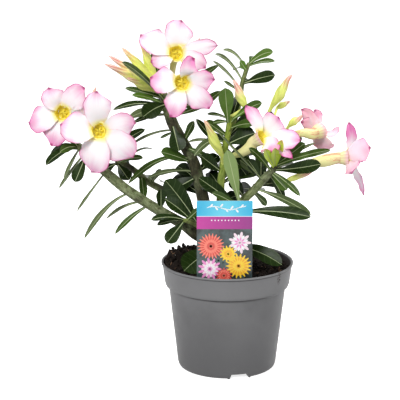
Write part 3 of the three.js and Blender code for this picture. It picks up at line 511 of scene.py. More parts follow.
class Value:
    """What one node of a material gives, with plain arithmetic. Each operation adds a node."""

    def __init__(self, finish, socket):
        self.finish = finish
        self.socket = socket

    def to(self, operation, other=0.0):
        return self.finish.add("ShaderNodeMath", {0: self, 1: other}, operation=operation)

    __add__ = partialmethod(to, "ADD")
    __sub__ = partialmethod(to, "SUBTRACT")
    __mul__ = partialmethod(to, "MULTIPLY")
    __truediv__ = partialmethod(to, "DIVIDE")
    __pow__ = partialmethod(to, "POWER")
    __abs__ = partialmethod(to, "ABSOLUTE")

    def __rsub__(self, other):
        return self.finish.add("ShaderNodeMath", {0: other, 1: self}, operation="SUBTRACT")


def steps(value, low, high, kind="SMOOTHSTEP"):
    """0 up to low, 1 from high on."""
    return value.finish.add("ShaderNodeMapRange", {"Value": value, "From Min": low, "From Max": high},
                            interpolation_type=kind)


def fade(value, low, high):
    """1 up to low, 0 from high on."""
    return 1 - steps(value, low, high)


def border(value, place, blur=0.00005):
    """0 before a place and 1 past it."""
    return steps(value, place - blur, place + blur)


def mix(share, a, b):
    """Colour a where the share is 0, colour b where it is 1."""
    return share.finish.add("ShaderNodeMix", {0: share, 6: a, 7: b}, 2, data_type="RGBA")


class Finish:
    """A material with one Principled shader and short ways to wire its nodes."""

    def __init__(self, name, roughness, specular=0.5, **sockets):
        self.material = bpy.data.materials.new(name)
        self.material.use_nodes = True
        self.tree = self.material.node_tree
        self.set(Roughness=roughness, Specular_IOR_Level=specular, **sockets)
        self.here = self.add("ShaderNodeTexCoord", {}, "Object")

    def link(self, source, target):
        if isinstance(source, Value):
            self.tree.links.new(source.socket, target)
        elif isinstance(source, tuple):
            target.default_value = (*source, 1)[:len(target.default_value)]
        else:
            target.default_value = source

    def set(self, **sockets):
        """Sets sockets of the shader, by their names with _ for a space."""
        for name, source in sockets.items():
            self.link(source, self.tree.nodes["Principled BSDF"].inputs[name.replace("_", " ")])

    def add(self, kind, inputs, output=0, **settings):
        """One output of a new node."""
        node = self.tree.nodes.new(kind)
        for name, value in settings.items():
            setattr(node, name, value)
        for socket, source in inputs.items():
            self.link(source, node.inputs[socket])
        return Value(self, node.outputs[output])

    def split(self, vector):
        node = self.tree.nodes.new("ShaderNodeSeparateXYZ")
        self.link(vector, node.inputs[0])
        return [Value(self, output) for output in node.outputs]

    def parts(self, name):
        """The three values of an attribute of the points."""
        return self.split(self.add("ShaderNodeAttribute", {}, "Vector", attribute_name=name))

    def vector(self, x, y, z):
        return self.add("ShaderNodeCombineXYZ", {0: x, 1: y, 2: z})

    def distance(self, centre, squash=(1, 1, 1)):
        """How far a place on the object is from centre, which is in mm."""
        apart = [(value - middle * MM) * share
                 for value, middle, share in zip(self.split(self.here), centre, squash)]
        return self.add("ShaderNodeVectorMath", {0: self.vector(*apart)}, "Value", operation="LENGTH")

    def noise(self, scale, detail=3.0, roughness=0.5, vector=None):
        return self.add("ShaderNodeTexNoise", {"Scale": scale, "Detail": detail, "Roughness": roughness,
                                               "Vector": vector or self.here})

    def painted(self, colour, height=None, strength=0.25, depth=0.0004):
        """The material with its colour, and a bump where a height is given."""
        self.set(Base_Color=colour)
        if height:
            self.set(Normal=self.add(
                "ShaderNodeBump", {"Strength": strength, "Distance": depth, "Height": height}))
        return self.material


DIRT_AT = (49.5, -41, 101)
DIRT_REACH = (0.001, 0.0032)
WALL_INSIDE = (0.0629, 0.06315)


def pot_finish():
    """Grey plastic with painted shade in the creases under the band and the lip and towards the foot,
    a painted highlight on the band, a run of dirt at the right, and the inside wall dark brown above the
    soil."""
    finish = Finish("grey_satin_plastic", 0.5, 0.2)
    z = finish.split(finish.here)[2]
    height = z / MM
    scuff = finish.noise(160, 3, 0.6)
    grey = mix(steps(finish.noise(22, 4, 0.55), 0.32, 0.68), (0.147, 0.147, 0.151), (0.188, 0.188, 0.193))
    # Painted highlight: the band is lighter than the wall below it
    grey = mix(steps(height, BAND_BOTTOM, BAND_BOTTOM + 2) * 0.5, grey, (0.215, 0.215, 0.22))
    # Painted shade: the wall darkens towards the foot
    grey = mix(steps(z, 0.0, 0.1), (0.115, 0.115, 0.118), grey)
    # Painted shade: dark bands in the creases under the band and under the lip
    for corner, reach in ((BAND_BOTTOM - 1.2, 1.3), (POT_HEIGHT - LIP_HEIGHT, 0.8)):
        crease_shade = fade(abs(height - corner), reach * 0.4, reach)
        grey = mix(crease_shade * 0.8, grey, (0.035, 0.035, 0.036))
    near_dirt = fade(finish.distance(DIRT_AT, (1, 0.5, 0.35)), *DIRT_REACH)
    speck = steps(finish.noise(600, 3, 0.6), 0.42, 0.55) * near_dirt
    grey = mix(speck * 0.95, grey, (0.022, 0.012, 0.008))
    # The inside wall is darkened to dark brown from the soil up to a ragged edge near the rim
    inside = fade(finish.distance((0, 0, 0), (1, 1, 0)), *WALL_INSIDE)
    over_soil = steps(height, SOIL_LEVEL - 2.5, SOIL_LEVEL - 1.5)
    dark_inside = over_soil * inside * fade(scuff * 6 + height, POT_HEIGHT - 0.5, POT_HEIGHT + 1.5)
    grey = mix(dark_inside * 0.85, grey, (0.02, 0.013, 0.01))
    finish.set(Roughness=scuff * 0.16 + 0.44)
    return finish.painted(grey, finish.noise(1400, 2), 0.12, 0.0002)


def soil_finish():
    finish = Finish("potting_soil", 0.95, 0.2)
    grain = finish.noise(420, 6, 0.7)
    dark = mix(finish.noise(60), (0.005, 0.0035, 0.003), (0.017, 0.011, 0.008))
    colour = mix(steps(grain, 0.5, 0.78), dark, (0.055, 0.035, 0.025))
    return finish.painted(colour, grain, 0.8, 0.0012)


def bit_finish(name, dark, light, roughness):
    """Perlite and bark chips in the soil."""
    finish = Finish(name, roughness, 0.3)
    return finish.painted(mix(finish.noise(500, 4), dark, light), finish.noise(900), 0.5)


def bark_finish():
    """Grey-green bark: tone is how old, how brown and a draw, blade runs round and along the stem."""
    finish = Finish("stem_bark", 0.6, 0.2)
    age, brown, draw = finish.parts("tone")
    around, _, far = finish.parts("blade")
    angle = around * FULL_TURN
    mottle = steps(finish.noise(1.0, 5, 0.65, finish.vector(
        angle.to("COSINE") * 1.6, angle.to("SINE") * 1.6, far * 0.16 + draw * 50)), 0.3, 0.7)
    patch = steps(finish.noise(45, 3, 0.6), 0.35, 0.65) * 1.1 - 0.5
    brown = (brown + patch) * steps(age, -0.3, 0.8)
    green = mix(mottle, (0.13, 0.2, 0.02), (0.34, 0.42, 0.07))
    grey = mix(mottle, (0.07, 0.095, 0.035), (0.3, 0.335, 0.2))
    dark = mix(mottle, (0.008, 0.01, 0.004), (0.065, 0.06, 0.03))
    colour = mix(brown, mix(age, green, grey), dark)
    cells = finish.add("ShaderNodeTexVoronoi", {"Scale": 190, "Vector": finish.here}, "Distance")
    scar = fade(cells, 0.14, 0.3)
    colour = mix(scar * 0.65, colour, (0.055, 0.042, 0.022))
    return finish.painted(colour, mottle * 0.7 + scar * 0.5, 0.5, 0.0008)


# Painted shade: leaves darken towards the heart of the plant, here
HEART_AT = (-22, 12, 172)
HEART_REACH = (0.018, 0.058)
DEEP_GREEN = (0.005, 0.014, 0.002)


def leaf_finish():
    """Leaves: tone is how young, how grey, and 1 on the upper face; blade is across, along, mm off
    the rib."""
    finish = Finish("leaf_green", 0.34, 0.12)
    young, grey, upper = finish.parts("tone")
    across, along, off_rib = finish.parts("blade")
    mottle = finish.noise(90, 3, 0.6)
    dark = mix(mottle, DEEP_GREEN, (0.02, 0.042, 0.006))
    fresh = mix(mottle, (0.07, 0.16, 0.015), (0.15, 0.28, 0.04))
    pale = mix(mottle, (0.075, 0.1, 0.045), (0.15, 0.18, 0.09))
    pale = mix(young * young, pale, (0.25, 0.34, 0.13))
    colour = mix(grey, mix(young, dark, fresh), pale)
    colour = mix((1 - upper) * 0.4, colour, pale)
    # Painted shade: leaves near the plant's heart are darkened towards deep green
    shade = fade(finish.distance(HEART_AT), *HEART_REACH)
    colour = mix(shade * 0.65, colour, DEEP_GREEN)
    bright = young - 1
    colour = mix(bright, colour, (0.76, 0.94, 0.11))
    colour = mix(bright * steps(along, 0.8, 1.1), colour, (0.7, 0.26, 0.1))
    slant = (along * 9 - abs(across) * 0.9) * math.pi
    vein = fade(abs(slant.to("SINE")), 0.0, 0.22)
    colour = mix(vein * 0.16, colour, (0.16, 0.24, 0.08))
    rib = fade(abs(off_rib) / (0.62 - along * 0.45), 0.45, 1.0)
    colour = mix(rib * 0.85, colour, (0.47, 0.55, 0.3))
    finish.set(Roughness=mottle * 0.2 + 0.2)
    return finish.painted(colour, vein * 0.4 + mottle * 0.3)


def petal_finish():
    """Petals: tone is how pink, a draw, and 1 on the inner face; blade is across, along, mm off the edge."""
    finish = Finish("petal_pink_edged", 0.5, 0.3, Subsurface_Weight=0.55,
                    Subsurface_Radius=(0.006, 0.004, 0.004))
    pink, draw, upper = finish.parts("tone")
    across, along, off_edge = finish.parts("blade")
    streak = finish.noise(1.0, 3, 0.6, finish.vector(across * 9, along * 1.3, draw * 20))
    blush = ((off_edge / (streak * 4.5 + pink * 5)) ** 1.5 * -1.3).to("EXPONENT")
    toward_tip = steps(along, 0.15, 0.75)
    colour = mix(blush * toward_tip * (pink * 0.4 + 0.6), (0.9, 0.86, 0.88), (0.75, 0.22, 0.48))
    colour = mix((1 - upper) * 0.7, colour, (0.92, 0.56, 0.66))
    rim = fade(off_edge, 0.2, 1.0)
    colour = mix(rim * toward_tip * 0.92, colour, (0.36, 0.012, 0.14))
    colour = mix(upper * fade(along, 0.0, 0.18), colour, (0.92, 0.84, 0.28))
    return finish.painted(colour, streak, 0.2, 0.0005)


def throat_finish():
    """The yellow funnel: blade is round it, down the inside and up the outside, and mm below its mouth."""
    finish = Finish("throat_yellow", 0.45, 0.2)
    around, through, depth = finish.parts("blade")
    lines = steps((around * (FULL_TURN * 15)).to("SINE"), 0.3, 0.95)
    colour = mix(steps(depth, 1.5, 7.0), (0.93, 0.8, 0.1), (0.9, 0.75, 0.06))
    colour = mix(lines * 0.3, colour, (0.66, 0.42, 0.03))
    colour = mix(steps(depth, -0.5, 0.4), (0.88, 0.82, 0.35), colour)
    back = mix(steps(depth, -0.4, 6.0), (0.9, 0.56, 0.6), (0.84, 0.8, 0.42))
    back = mix(lines * 0.35, back, (0.7, 0.24, 0.24))
    return finish.painted(mix(steps(through, 0.5, 0.62), colour, back))


def tube_finish():
    """Tubes: blade runs round and along from the mouth to the stalk."""
    finish = Finish("tube_yellow_green", 0.42, 0.4)
    around, along, _ = finish.parts("blade")
    blush, _, inside = finish.parts("tone")
    cloud = finish.noise(1.0, 3, 0.6, finish.vector(around * 14, along * 2.5, blush))
    yellow = mix(cloud, (0.74, 0.7, 0.26), (0.84, 0.8, 0.42))
    green = mix(cloud, (0.4, 0.5, 0.08), (0.56, 0.62, 0.16))
    colour = mix(steps(along, 0.35, 1.0), yellow, green)
    mouth = fade(along, 0.0, 0.25)
    colour = mix(mouth * 0.3, colour, (0.85, 0.62, 0.5))
    streak = steps(mouth * 0.08 + cloud * blush, 0.48, 0.58)
    colour = mix(streak * 0.7, colour, (0.62, 0.1, 0.06))
    return finish.painted(mix(inside, colour, (0.92, 0.8, 0.1)), cloud, 0.25, 0.0005)


def bud_finish():
    """Buds: yellow-green below, pink twisted folds towards the point."""
    finish = Finish("bud_pink_tipped", 0.42, 0.4)
    around, along, _ = finish.parts("blade")
    blush, turns, _ = finish.parts("tone")
    spiral = (along * turns + around) * (FULL_TURN * 5)
    folds = spiral.to("SINE") * 0.5 + 0.5
    cloud = finish.noise(260, 3, 0.6)
    body = mix(folds * 0.6, (0.78, 0.82, 0.16), (0.52, 0.66, 0.07))
    body = mix(cloud * 0.5, body, (0.88, 0.9, 0.36))
    tip = steps(along - (1 - blush * 0.75), 0.0, 0.28, "LINEAR")
    rose = mix(folds, (0.78, 0.26, 0.32), (0.92, 0.62, 0.58))
    colour = mix(tip * (cloud * 0.5 + 0.6), body, rose)
    seam = fade(folds, 0.0, 0.12) * steps(along, 0.6, 0.85)
    colour = mix(seam * 0.8, colour, (0.5, 0.06, 0.1))
    return finish.painted(colour, folds)


LABEL_BAND_FOOT = 146
LABEL_STRIPE_FOOT = 133


def label_finish():
    """The card's print: a cyan band, a magenta band and a dark panel, white on the tail and back."""
    finish = Finish("label_card", 0.28)
    x, y, z = finish.split(finish.here)
    band_z, stripe_z = (spot(0, foot, LABEL_Y).z * MM for foot in (LABEL_BAND_FOOT, LABEL_STRIPE_FOOT))
    left = (LABEL_X - LABEL_WIDTH / 2) * MM
    across = steps(x, left, left + LABEL_WIDTH * MM, "LINEAR")
    cyan = mix(steps(abs(across - 0.5), 0.0, 0.5), (0.13, 0.58, 0.76), (0.035, 0.42, 0.66))
    magenta = mix(across, (0.5, 0.035, 0.3), (0.26, 0.02, 0.2))
    panel = mix(steps(finish.noise(95, 4, 0.6), 0.35, 0.75), (0.018, 0.022, 0.024), (0.07, 0.11, 0.11))
    colour = mix(border(z, stripe_z), panel, magenta)
    colour = mix(border(z, band_z - 0.00055), colour, (0.75, 0.8, 0.9))
    colour = mix(border(z, band_z), colour, cyan)
    front = (LABEL_Y - LABEL_THICKNESS / 2 + 0.05) * MM
    return finish.painted(mix(border(y, front, 0.00001), colour, (0.7, 0.7, 0.69)))


def print_finish(name, dark, light):
    finish = Finish(name, 0.3)
    return finish.painted(mix(finish.noise(900), dark, light))


BARK = bark_finish()
LEAF = leaf_finish()
TUBE = tube_finish()
BUD = bud_finish()
PETAL_FINISHES = [petal_finish(), throat_finish()]


# The pot

POT_STEPS = 144
POT_ROUNDING = 0.45


def turned(points, radius):
    """A scratch object turned from a profile of radius and height, its inner corners rounded."""
    bm = bmesh.new()
    verts = [bm.verts.new((r, 0, z)) for r, z in points]
    for a, b in zip(verts, verts[1:]):
        bm.edges.new((a, b))
    bmesh.ops.bevel(bm, geom=verts[1:-1], offset=radius, offset_type="OFFSET", segments=3, profile=0.5,
                    affect="VERTICES", material=-1)
    bmesh.ops.spin(bm, geom=bm.verts[:] + bm.edges[:], cent=(0, 0, 0), axis=(0, 0, 1), angle=FULL_TURN,
                   steps=POT_STEPS, use_merge=True, use_normal_flip=False)
    bmesh.ops.remove_doubles(bm, verts=bm.verts, dist=1e-3)
    bmesh.ops.recalc_face_normals(bm, faces=bm.faces)
    return new_object("turned", bm)


def add_boolean(body, operation, other):
    cut = body.modifiers.new("cut", "BOOLEAN")
    cut.operation = operation
    cut.solver = "EXACT"
    cut.object = other


def combine(body, operation, others):
    """Joins the other objects to body or cuts them out of it, and removes them."""
    for other in others:
        add_boolean(body, operation, other)
    bpy.context.view_layer.update()
    shown = body.evaluated_get(bpy.context.evaluated_depsgraph_get())
    mesh = bpy.data.meshes.new_from_object(shown)
    body.modifiers.clear()
    old, body.data = body.data, mesh
    for spare in [old] + [other.data for other in others]:
        bpy.data.meshes.remove(spare)


def cutter(bm, angle):
    """A scratch object of what stands on -Y, turned about the pot's axis."""
    bmesh.ops.rotate(bm, verts=bm.verts, cent=(0, 0, 0), matrix=Matrix.Rotation(angle, 3, "Z"))
    bmesh.ops.recalc_face_normals(bm, faces=bm.faces)
    return new_object("cutter", bm)


def channel(angle, grow, start, end):
    """A drainage channel's block or hollow, from the middle of the foot outwards."""
    bm = bmesh.new()
    bmesh.ops.create_cube(bm, size=1)
    for vert in bm.verts:
        width, z = (NOTCH_TOP_WIDTH, NOTCH_HEIGHT + grow) if vert.co.z > 0 else (NOTCH_WIDTH, -1)
        vert.co = Vector((vert.co.x * (width + 2 * grow), -end if vert.co.y < 0 else -start, z))
    return cutter(bm, angle)


def drain(angle):
    bm = bmesh.new()
    bmesh.ops.create_cone(bm, cap_ends=True, segments=24, radius1=DRAIN_RADIUS, radius2=DRAIN_RADIUS,
                          depth=2 * (NOTCH_HEIGHT + 1))
    bmesh.ops.translate(bm, verts=bm.verts, vec=(0, -DRAIN_AT, NOTCH_HEIGHT))
    return cutter(bm, angle)


def make_pot():
    body = turned([
        (0, 0), (FOOT_RADIUS - 3.5, 0), (FOOT_RADIUS - 1, 1), (FOOT_RADIUS, 4),
        (WALL_TOP_RADIUS, BAND_BOTTOM - STEP_HEIGHT), (BAND_RADIUS - 0.8, BAND_BOTTOM - 0.3),
        (BAND_RADIUS, BAND_BOTTOM + 2), (RIM_RADIUS - 1, POT_HEIGHT - LIP_HEIGHT),
        (RIM_RADIUS, POT_HEIGHT - LIP_HEIGHT + 0.7), (RIM_RADIUS, POT_HEIGHT - 0.6),
        (RIM_RADIUS - 0.6, POT_HEIGHT), (RIM_RADIUS - RIM_WALL + 0.5, POT_HEIGHT),
        (RIM_RADIUS - RIM_WALL, POT_HEIGHT - 1), (BAND_RADIUS - POT_WALL, BAND_BOTTOM + 3),
        (BAND_RADIUS - POT_WALL - 0.8, BAND_BOTTOM + 1),
        (WALL_TOP_RADIUS - POT_WALL, BAND_BOTTOM - STEP_HEIGHT + 0.6),
        (FOOT_RADIUS - POT_WALL, 5), (FOOT_RADIUS - 4.5, POT_WALL), (0, POT_WALL),
    ], POT_ROUNDING)
    within = turned([(0, -2), (FOOT_RADIUS - 0.7, -2), (FOOT_RADIUS - 0.7, 9), (0, 9)], 0.01)
    angles = [math.radians(NOTCH_FIRST_DEG) + FULL_TURN * index / NOTCH_COUNT for index in range(NOTCH_COUNT)]
    start = FOOT_RADIUS - NOTCH_REACH
    blocks = [channel(angle, POT_WALL, start - POT_WALL, FOOT_RADIUS) for angle in angles]
    for block in blocks:
        for vert in block.data.vertices:
            vert.co.z = max(vert.co.z, 0.2)
        add_boolean(block, "INTERSECT", within)
    combine(body, "UNION", blocks)
    hollows = [channel(angle, 0, start, FOOT_RADIUS + 6) for angle in angles]
    combine(body, "DIFFERENCE", hollows + [drain(angle) for angle in angles])
    bm = bmesh.new()
    bm.from_mesh(body.data)
    for spare in (within.data, body.data):
        bpy.data.meshes.remove(spare)
    finish_piece("satin_pot", bm, [pot_finish()], ["pot"])


# The soil

SOIL_FOOT = 7
SOIL_EDGE = 61.9
# The side of the soil, down inside the wall and across over the drainage channels
SOIL_SIDE = [
    (BAND_RADIUS - POT_WALL - GAP, BAND_BOTTOM + 3), (WALL_TOP_RADIUS - POT_WALL - GAP, BAND_BOTTOM - 3),
    (FOOT_RADIUS - POT_WALL - GAP, SOIL_FOOT), (0, SOIL_FOOT),
]
SOIL_SIDES = 160
SOIL_TOP_RINGS = 60
SOIL_RINGS = SOIL_TOP_RINGS + len(SOIL_SIDE)
# Height and closeness of the lumps on the soil's top, which lies a little under its crumbs
FINE_LUMPS = [(2.0, 0.16), (1.5, 0.42), (0.9, 1.1)]
SUNK_TOP = 0.8
CRUMBS = 520
CRUMB_REACH = 0.965
CRUMB_RADII = (0.8, 2.1)
CRUMB_STEP = 0.37
# How much coarser the crumbs are on the mound, and how far out, squared
MOUND_COARSER = 2.0
MOUND_REACH = 900
CHIPS = 46
CHIP_REACH = 0.93
CHIP_RADII = (0.8, 1.3)
CHIP_STEP = 0.61
CHIP_LIFT = 1.1
CRUMBLY = 0.45
STONY = 0.3
PERLITE = [(49, -26, 1.3), (52, -20, 0.8), (40, -36, 0.7), (-30, -44, 0.7), (-52, 2, 0.8), (20, 44, 1.0),
           (-8, 50, 0.8)]


def off_mound(x, y):
    """The distance from the mound's top, squared."""
    return (x - MOUND_AT[0]) ** 2 + (y - MOUND_AT[1]) ** 2


def soil_height(x, y):
    mound = MOUND_RISE * math.exp(-off_mound(x, y) / (2 * MOUND_SPREAD ** 2))
    lumps = SOIL_LUMP * (math.sin(0.31 * x + 1) * math.cos(0.27 * y) + math.sin(0.17 * (x - 2 * y)))
    return SOIL_LEVEL + mound + lumps


def add_lump(bm, centre, radius, stretch, turn, draw, material, rough):
    """A crumb of soil, a chip of bark or a grain of perlite."""
    verts = bmesh.ops.create_icosphere(bm, subdivisions=2, radius=1)["verts"]
    for vert in verts:
        way = vert.co.normalized()
        reach = 1 + rough * noise.noise(way * 1.7 + Vector((draw, draw * 2, 0)))
        reach += 0.5 * rough * noise.noise(way * 4 + Vector((0, draw, draw)))
        vert.co = turn.normalized() @ (way * Vector(stretch) * (radius * reach)) + centre
    give_material(verts, material)


def make_soil():
    bm = new_bmesh()
    draws = random.Random(SEED)

    def place(s, t):
        angle = FULL_TURN * s
        ring = round(t * SOIL_RINGS)
        if ring > SOIL_TOP_RINGS:
            radius, z = SOIL_SIDE[ring - SOIL_TOP_RINGS - 1]
            return ring_point(radius, angle, z), Vector(), Vector()
        here = ring_point(SOIL_EDGE * ring / SOIL_TOP_RINGS, angle)
        fine = sum(rise * noise.noise(here * closeness) for rise, closeness in FINE_LUMPS)
        here.z = soil_height(here.x, here.y) + fine - SUNK_TOP
        return here, Vector(), Vector()

    def scattered(share):
        """A random point on the soil, inside a share of its radius."""
        radius = SOIL_EDGE * math.sqrt(draws.random()) * share
        point = ring_point(radius, FULL_TURN * draws.random())
        point.z = soil_height(point.x, point.y)
        return point

    add_sheet(bm, SOIL_SIDES, SOIL_RINGS, place)
    for index in range(CRUMBS):
        centre = scattered(CRUMB_REACH)
        near = math.exp(-off_mound(centre.x, centre.y) / MOUND_REACH)
        size = draws.uniform(*CRUMB_RADII) + MOUND_COARSER * near * draws.random() ** 2
        turn = Quaternion([draws.random() - 0.5 for _ in range(3)] + [0.5])
        stretch = (1, draws.uniform(0.6, 1), draws.uniform(0.5, 0.9))
        centre.z += size * 0.35
        reach = centre.xy.length + size * 1.3
        if reach > SOIL_EDGE:
            centre.xy *= SOIL_EDGE / reach
        add_lump(bm, centre, size, stretch, turn, index * CRUMB_STEP, 0, CRUMBLY)
    for index in range(CHIPS):
        centre = scattered(CHIP_REACH)
        turn = Quaternion((0.5, draws.uniform(-0.3, 0.3), draws.uniform(-0.3, 0.3), draws.uniform(-1, 1)))
        stretch = (draws.uniform(1.6, 2.8), 0.7, 0.35)
        centre.z += CHIP_LIFT
        add_lump(bm, centre, draws.uniform(*CHIP_RADII), stretch, turn, index * CHIP_STEP, 1, STONY)
    for x, y, radius in PERLITE:
        centre = Vector((x, y, soil_height(x, y) + radius * 0.9))
        add_lump(bm, centre, radius, (1, 0.8, 0.8), Quaternion(), x * 0.3, 2, STONY)
    finish_piece("potting_mix", bm, [
        soil_finish(),
        bit_finish("bark_chip", (0.05, 0.026, 0.014), (0.16, 0.09, 0.05), 0.85),
        bit_finish("perlite", (0.55, 0.5, 0.44), (0.8, 0.77, 0.72), 0.8),
    ], ["soil"])


# The label

CARD_CORNER = 0.9
SHOULDER_DROP = 8
POINT_LENGTH = 8


def make_label():
    half, tail = LABEL_WIDTH / 2, LABEL_TAIL_WIDTH / 2
    right = [(half, LABEL_TOP), (half, LABEL_BOTTOM), (tail, LABEL_BOTTOM - SHOULDER_DROP),
             (tail * 0.7, LABEL_TAIL_TIP + POINT_LENGTH)]
    outline = [*right, (0, LABEL_TAIL_TIP), *((-x, z) for x, z in reversed(right))]
    bm = new_bmesh()
    back = LABEL_Y + LABEL_THICKNESS / 2
    face = bm.faces.new([bm.verts.new((LABEL_X + x, back, z)) for x, z in outline])
    made = bmesh.ops.extrude_face_region(bm, geom=[face], use_keep_orig=True)["geom"]
    bmesh.ops.translate(bm, verts=verts_of(made), vec=(0, -LABEL_THICKNESS, 0))
    corners = [side for side in bm.edges if (side.verts[0].co - side.verts[1].co).xz.length < 1e-3]
    bmesh.ops.bevel(bm, geom=corners, offset=CARD_CORNER, offset_type="OFFSET", segments=4, profile=0.5,
                    affect="EDGES", material=-1)
    finish_piece("plant_card", bm, [label_finish()], ["plant_label"])


# What is printed on the card: flat petals, leaves and dots, a hair in front of it
PRINT_FRONT = LABEL_Y - LABEL_THICKNESS / 2 - 0.03
PRINT_STEP = 0.02
PRINT_MARGIN = 0.3
CYAN_Z = 173
MAGENTA_Z = 161
BACKDROP_LEAVES = 16
BACKDROP_X = (-23, 10)
BACKDROP_Z = (104, 142)
SPRIG_LEAVES = 15
SPRIG_START = -17
DOTS = 9
DOT_START = -13
DOT_GAP = 3.2
INKS = {
    "white": ((0.75, 0.78, 0.8), (0.88, 0.88, 0.88)),
    "green": ((0.03, 0.055, 0.05), (0.07, 0.12, 0.1)),
    "yellow": ((0.85, 0.52, 0.02), (0.9, 0.65, 0.05)),
    "amber": ((0.75, 0.3, 0.02), (0.85, 0.45, 0.04)),
    "coral": ((0.8, 0.16, 0.1), (0.85, 0.26, 0.2)),
    "scarlet": ((0.55, 0.04, 0.03), (0.72, 0.1, 0.08)),
    "blush": ((0.82, 0.62, 0.7), (0.88, 0.74, 0.8)),
    "pink": ((0.72, 0.2, 0.5), (0.8, 0.34, 0.6)),
}
# Printed blooms: x, z, radius, rings, petals to a ring, layer, inks
PRINT_BLOOMS = [
    (-13, 135.5, 13, 6, 22, 3, ["coral", "scarlet", "coral"]),
    (14.5, 139, 11, 4, 9, 3, ["blush", "white", "pink", "blush"]),
    (13.5, 116, 12.5, 5, 18, 3, ["yellow", "amber", "yellow"]),
    (3.5, 128, 8.5, 4, 14, 9, ["yellow", "yellow", "amber"]),
    (-14, 113, 11.5, 4, 11, 3, ["pink", "blush", "white"]),
    (-0.5, 106.5, 8, 4, 16, 10, ["scarlet", "coral"]),
]


def add_print(bm, x, z, length, width, turn, layer, ink):
    """A flat petal or leaf shape whose foot is at x, z on the card."""
    verts = bmesh.ops.create_circle(bm, cap_ends=True, segments=14, radius=0.5)["verts"]
    for vert in verts:
        along = vert.co.x + 0.5
        far, wide = along * length, vert.co.y * (0.55 + 0.45 * along) * width
        vert.co = Vector((
            LABEL_X + x + far * math.cos(turn) - wide * math.sin(turn),
            PRINT_FRONT - layer * PRINT_STEP,
            z + far * math.sin(turn) + wide * math.cos(turn)))
    give_material(verts, list(INKS).index(ink))


def add_print_bloom(bm, x, z, radius, rings, count, layer, inks):
    """Rings of flat petals, each ring smaller and on top of the last."""
    for ring in range(rings):
        size = radius * (1 - ring / rings)
        for petal in range(count):
            turn = FULL_TURN * (petal + 0.5 * (ring % 2)) / count
            add_print(bm, x, z, size, 2.6 * size / count + 0.5, turn, layer + ring, inks[ring % len(inks)])


def make_print():
    bm = new_bmesh()
    draws = random.Random(SEED + 1)
    for _ in range(BACKDROP_LEAVES):
        x, z = draws.uniform(*BACKDROP_X), draws.uniform(*BACKDROP_Z)
        add_print(bm, x, z, draws.uniform(9, 13), draws.uniform(2, 3), draws.uniform(-0.7, 1.2), 1, "green")
    for row in PRINT_BLOOMS:
        add_print_bloom(bm, *row)
    # A sprig along the cyan band and a row of dots on the magenta one
    for index in range(SPRIG_LEAVES):
        share = index / (SPRIG_LEAVES - 1)
        x, z = SPRIG_START * (1 - 2 * share), CYAN_Z + 1.3 * math.sin(7 * share)
        add_print(bm, x, z, 3.6, 1.1, 0.5 * math.cos(7 * share), 2, "white")
        if index % 2:
            add_print(bm, x + 0.6, z, 4.2, 2.2, 0.9 if index % 4 == 1 else -0.9, 1, "white")
    for index in range(DOTS):
        add_print(bm, DOT_START + DOT_GAP * index, MAGENTA_Z, 1.3, 1.8, 0, 1, "white")
    side = LABEL_WIDTH / 2 - PRINT_MARGIN
    for vert in bm.verts:
        vert.co.z = max(vert.co.z, LABEL_BOTTOM + 0.4)
        vert.co.x = min(max(vert.co.x, LABEL_X - side), LABEL_X + side)
    inks = [print_finish(f"ink_{name}", *tones) for name, tones in INKS.items()]
    finish_piece("card_print", bm, inks)


# Blades: leaves and petals, with an upper and an under face. Their waves start where the draw says

WAVE_START = 6.28

def across_blade(s):
    """How far across a blade s is, from -1 to 1 and back on the under face, and if it is on the upper."""
    return (4 * s - 1, True) if s <= 0.5 else (3 - 4 * s, False)


def arched(base, tip, bow, facing, t):
    """The middle, the side and the normal, at t, of a blade that arches by bow."""
    middle = base.lerp(tip, t) + bow * (4 * t * (1 - t))
    way = (tip - base + bow * (4 * (1 - 2 * t))).normalized()
    side = way.cross(facing).normalized()
    return middle, side, side.cross(way)


# Leaves and stems: a leaf's outline up to its widest place, then how round its end is
BROAD_LEAF = [(0, 0.2), (0.2, 0.32), (0.48, 0.8), (0.72, 1)], 2.3, 0.6
THIN_LEAF = [(0, 0.3), (0.35, 0.7), (0.68, 1)], 2.0, 0.62
THIN_WIDTH = 9.5
LEAF_COLUMNS = 12
LEAF_ROWS = 20
# How much closer the columns stand at the rib, and the rows at the tip
TO_RIB = 1.25
TO_TIP = 0.9
LEAF_BODY = 0.55
LEAF_WAVE = 0.05
LEAF_TWIST = 0.35
TWIST_FROM = 0.4
RIB_BODY = 0.5
RIB_GROOVE = 0.25
RIB_WIDTH = 0.9
GROOVE_WIDTH = 0.6


def add_leaf(bm, row, look, draw):
    base, tip = spot(*row[:3]), spot(*row[3:6])
    width, turn, arch = row[6:]
    straight = (tip - base).normalized()
    front = EYE - base
    front = (front - straight * front.dot(straight)).normalized()
    upward = straight.cross(front)
    if upward.z + 0.1 * upward.x < 0:
        upward.negate()
    angle = math.radians(turn)
    facing = front * math.cos(angle) + upward * math.sin(angle)
    outline = THIN_LEAF if width < THIN_WIDTH else BROAD_LEAF
    half = width / 2

    def place(s, t):
        t = t ** TO_TIP
        x, upper = across_blade(s)
        x = math.copysign(abs(x) ** TO_RIB, x)
        middle, side, normal = arched(base, tip, Vector((0, 0, arch)), facing, t)
        reach = half * blade_share(*outline, t)
        lift = reach * LEAF_FOLD * (math.sqrt(x * x + 0.02) - 0.14)
        lift -= RIB_GROOVE * math.exp(-((x * reach / GROOVE_WIDTH) ** 2)) * (1 - t)
        lift += reach * LEAF_WAVE * x * x * math.sin(9 * t + WAVE_START * draw + 2 * x)
        lift += reach * x * LEAF_TWIST * (draw - 0.5) * (t - TWIST_FROM)
        if not upper:
            lift -= LEAF_BODY * (1 - x * x) ** 0.5
            lift -= RIB_BODY * math.exp(-((x * half / RIB_WIDTH) ** 2)) * (1 - t)
        co = middle + side * (reach * x) + normal * lift
        return co, Vector((x, t, x * reach)), Vector((*LOOKS[look], upper))

    add_sheet(bm, 2 * LEAF_COLUMNS, LEAF_ROWS, place, 1)


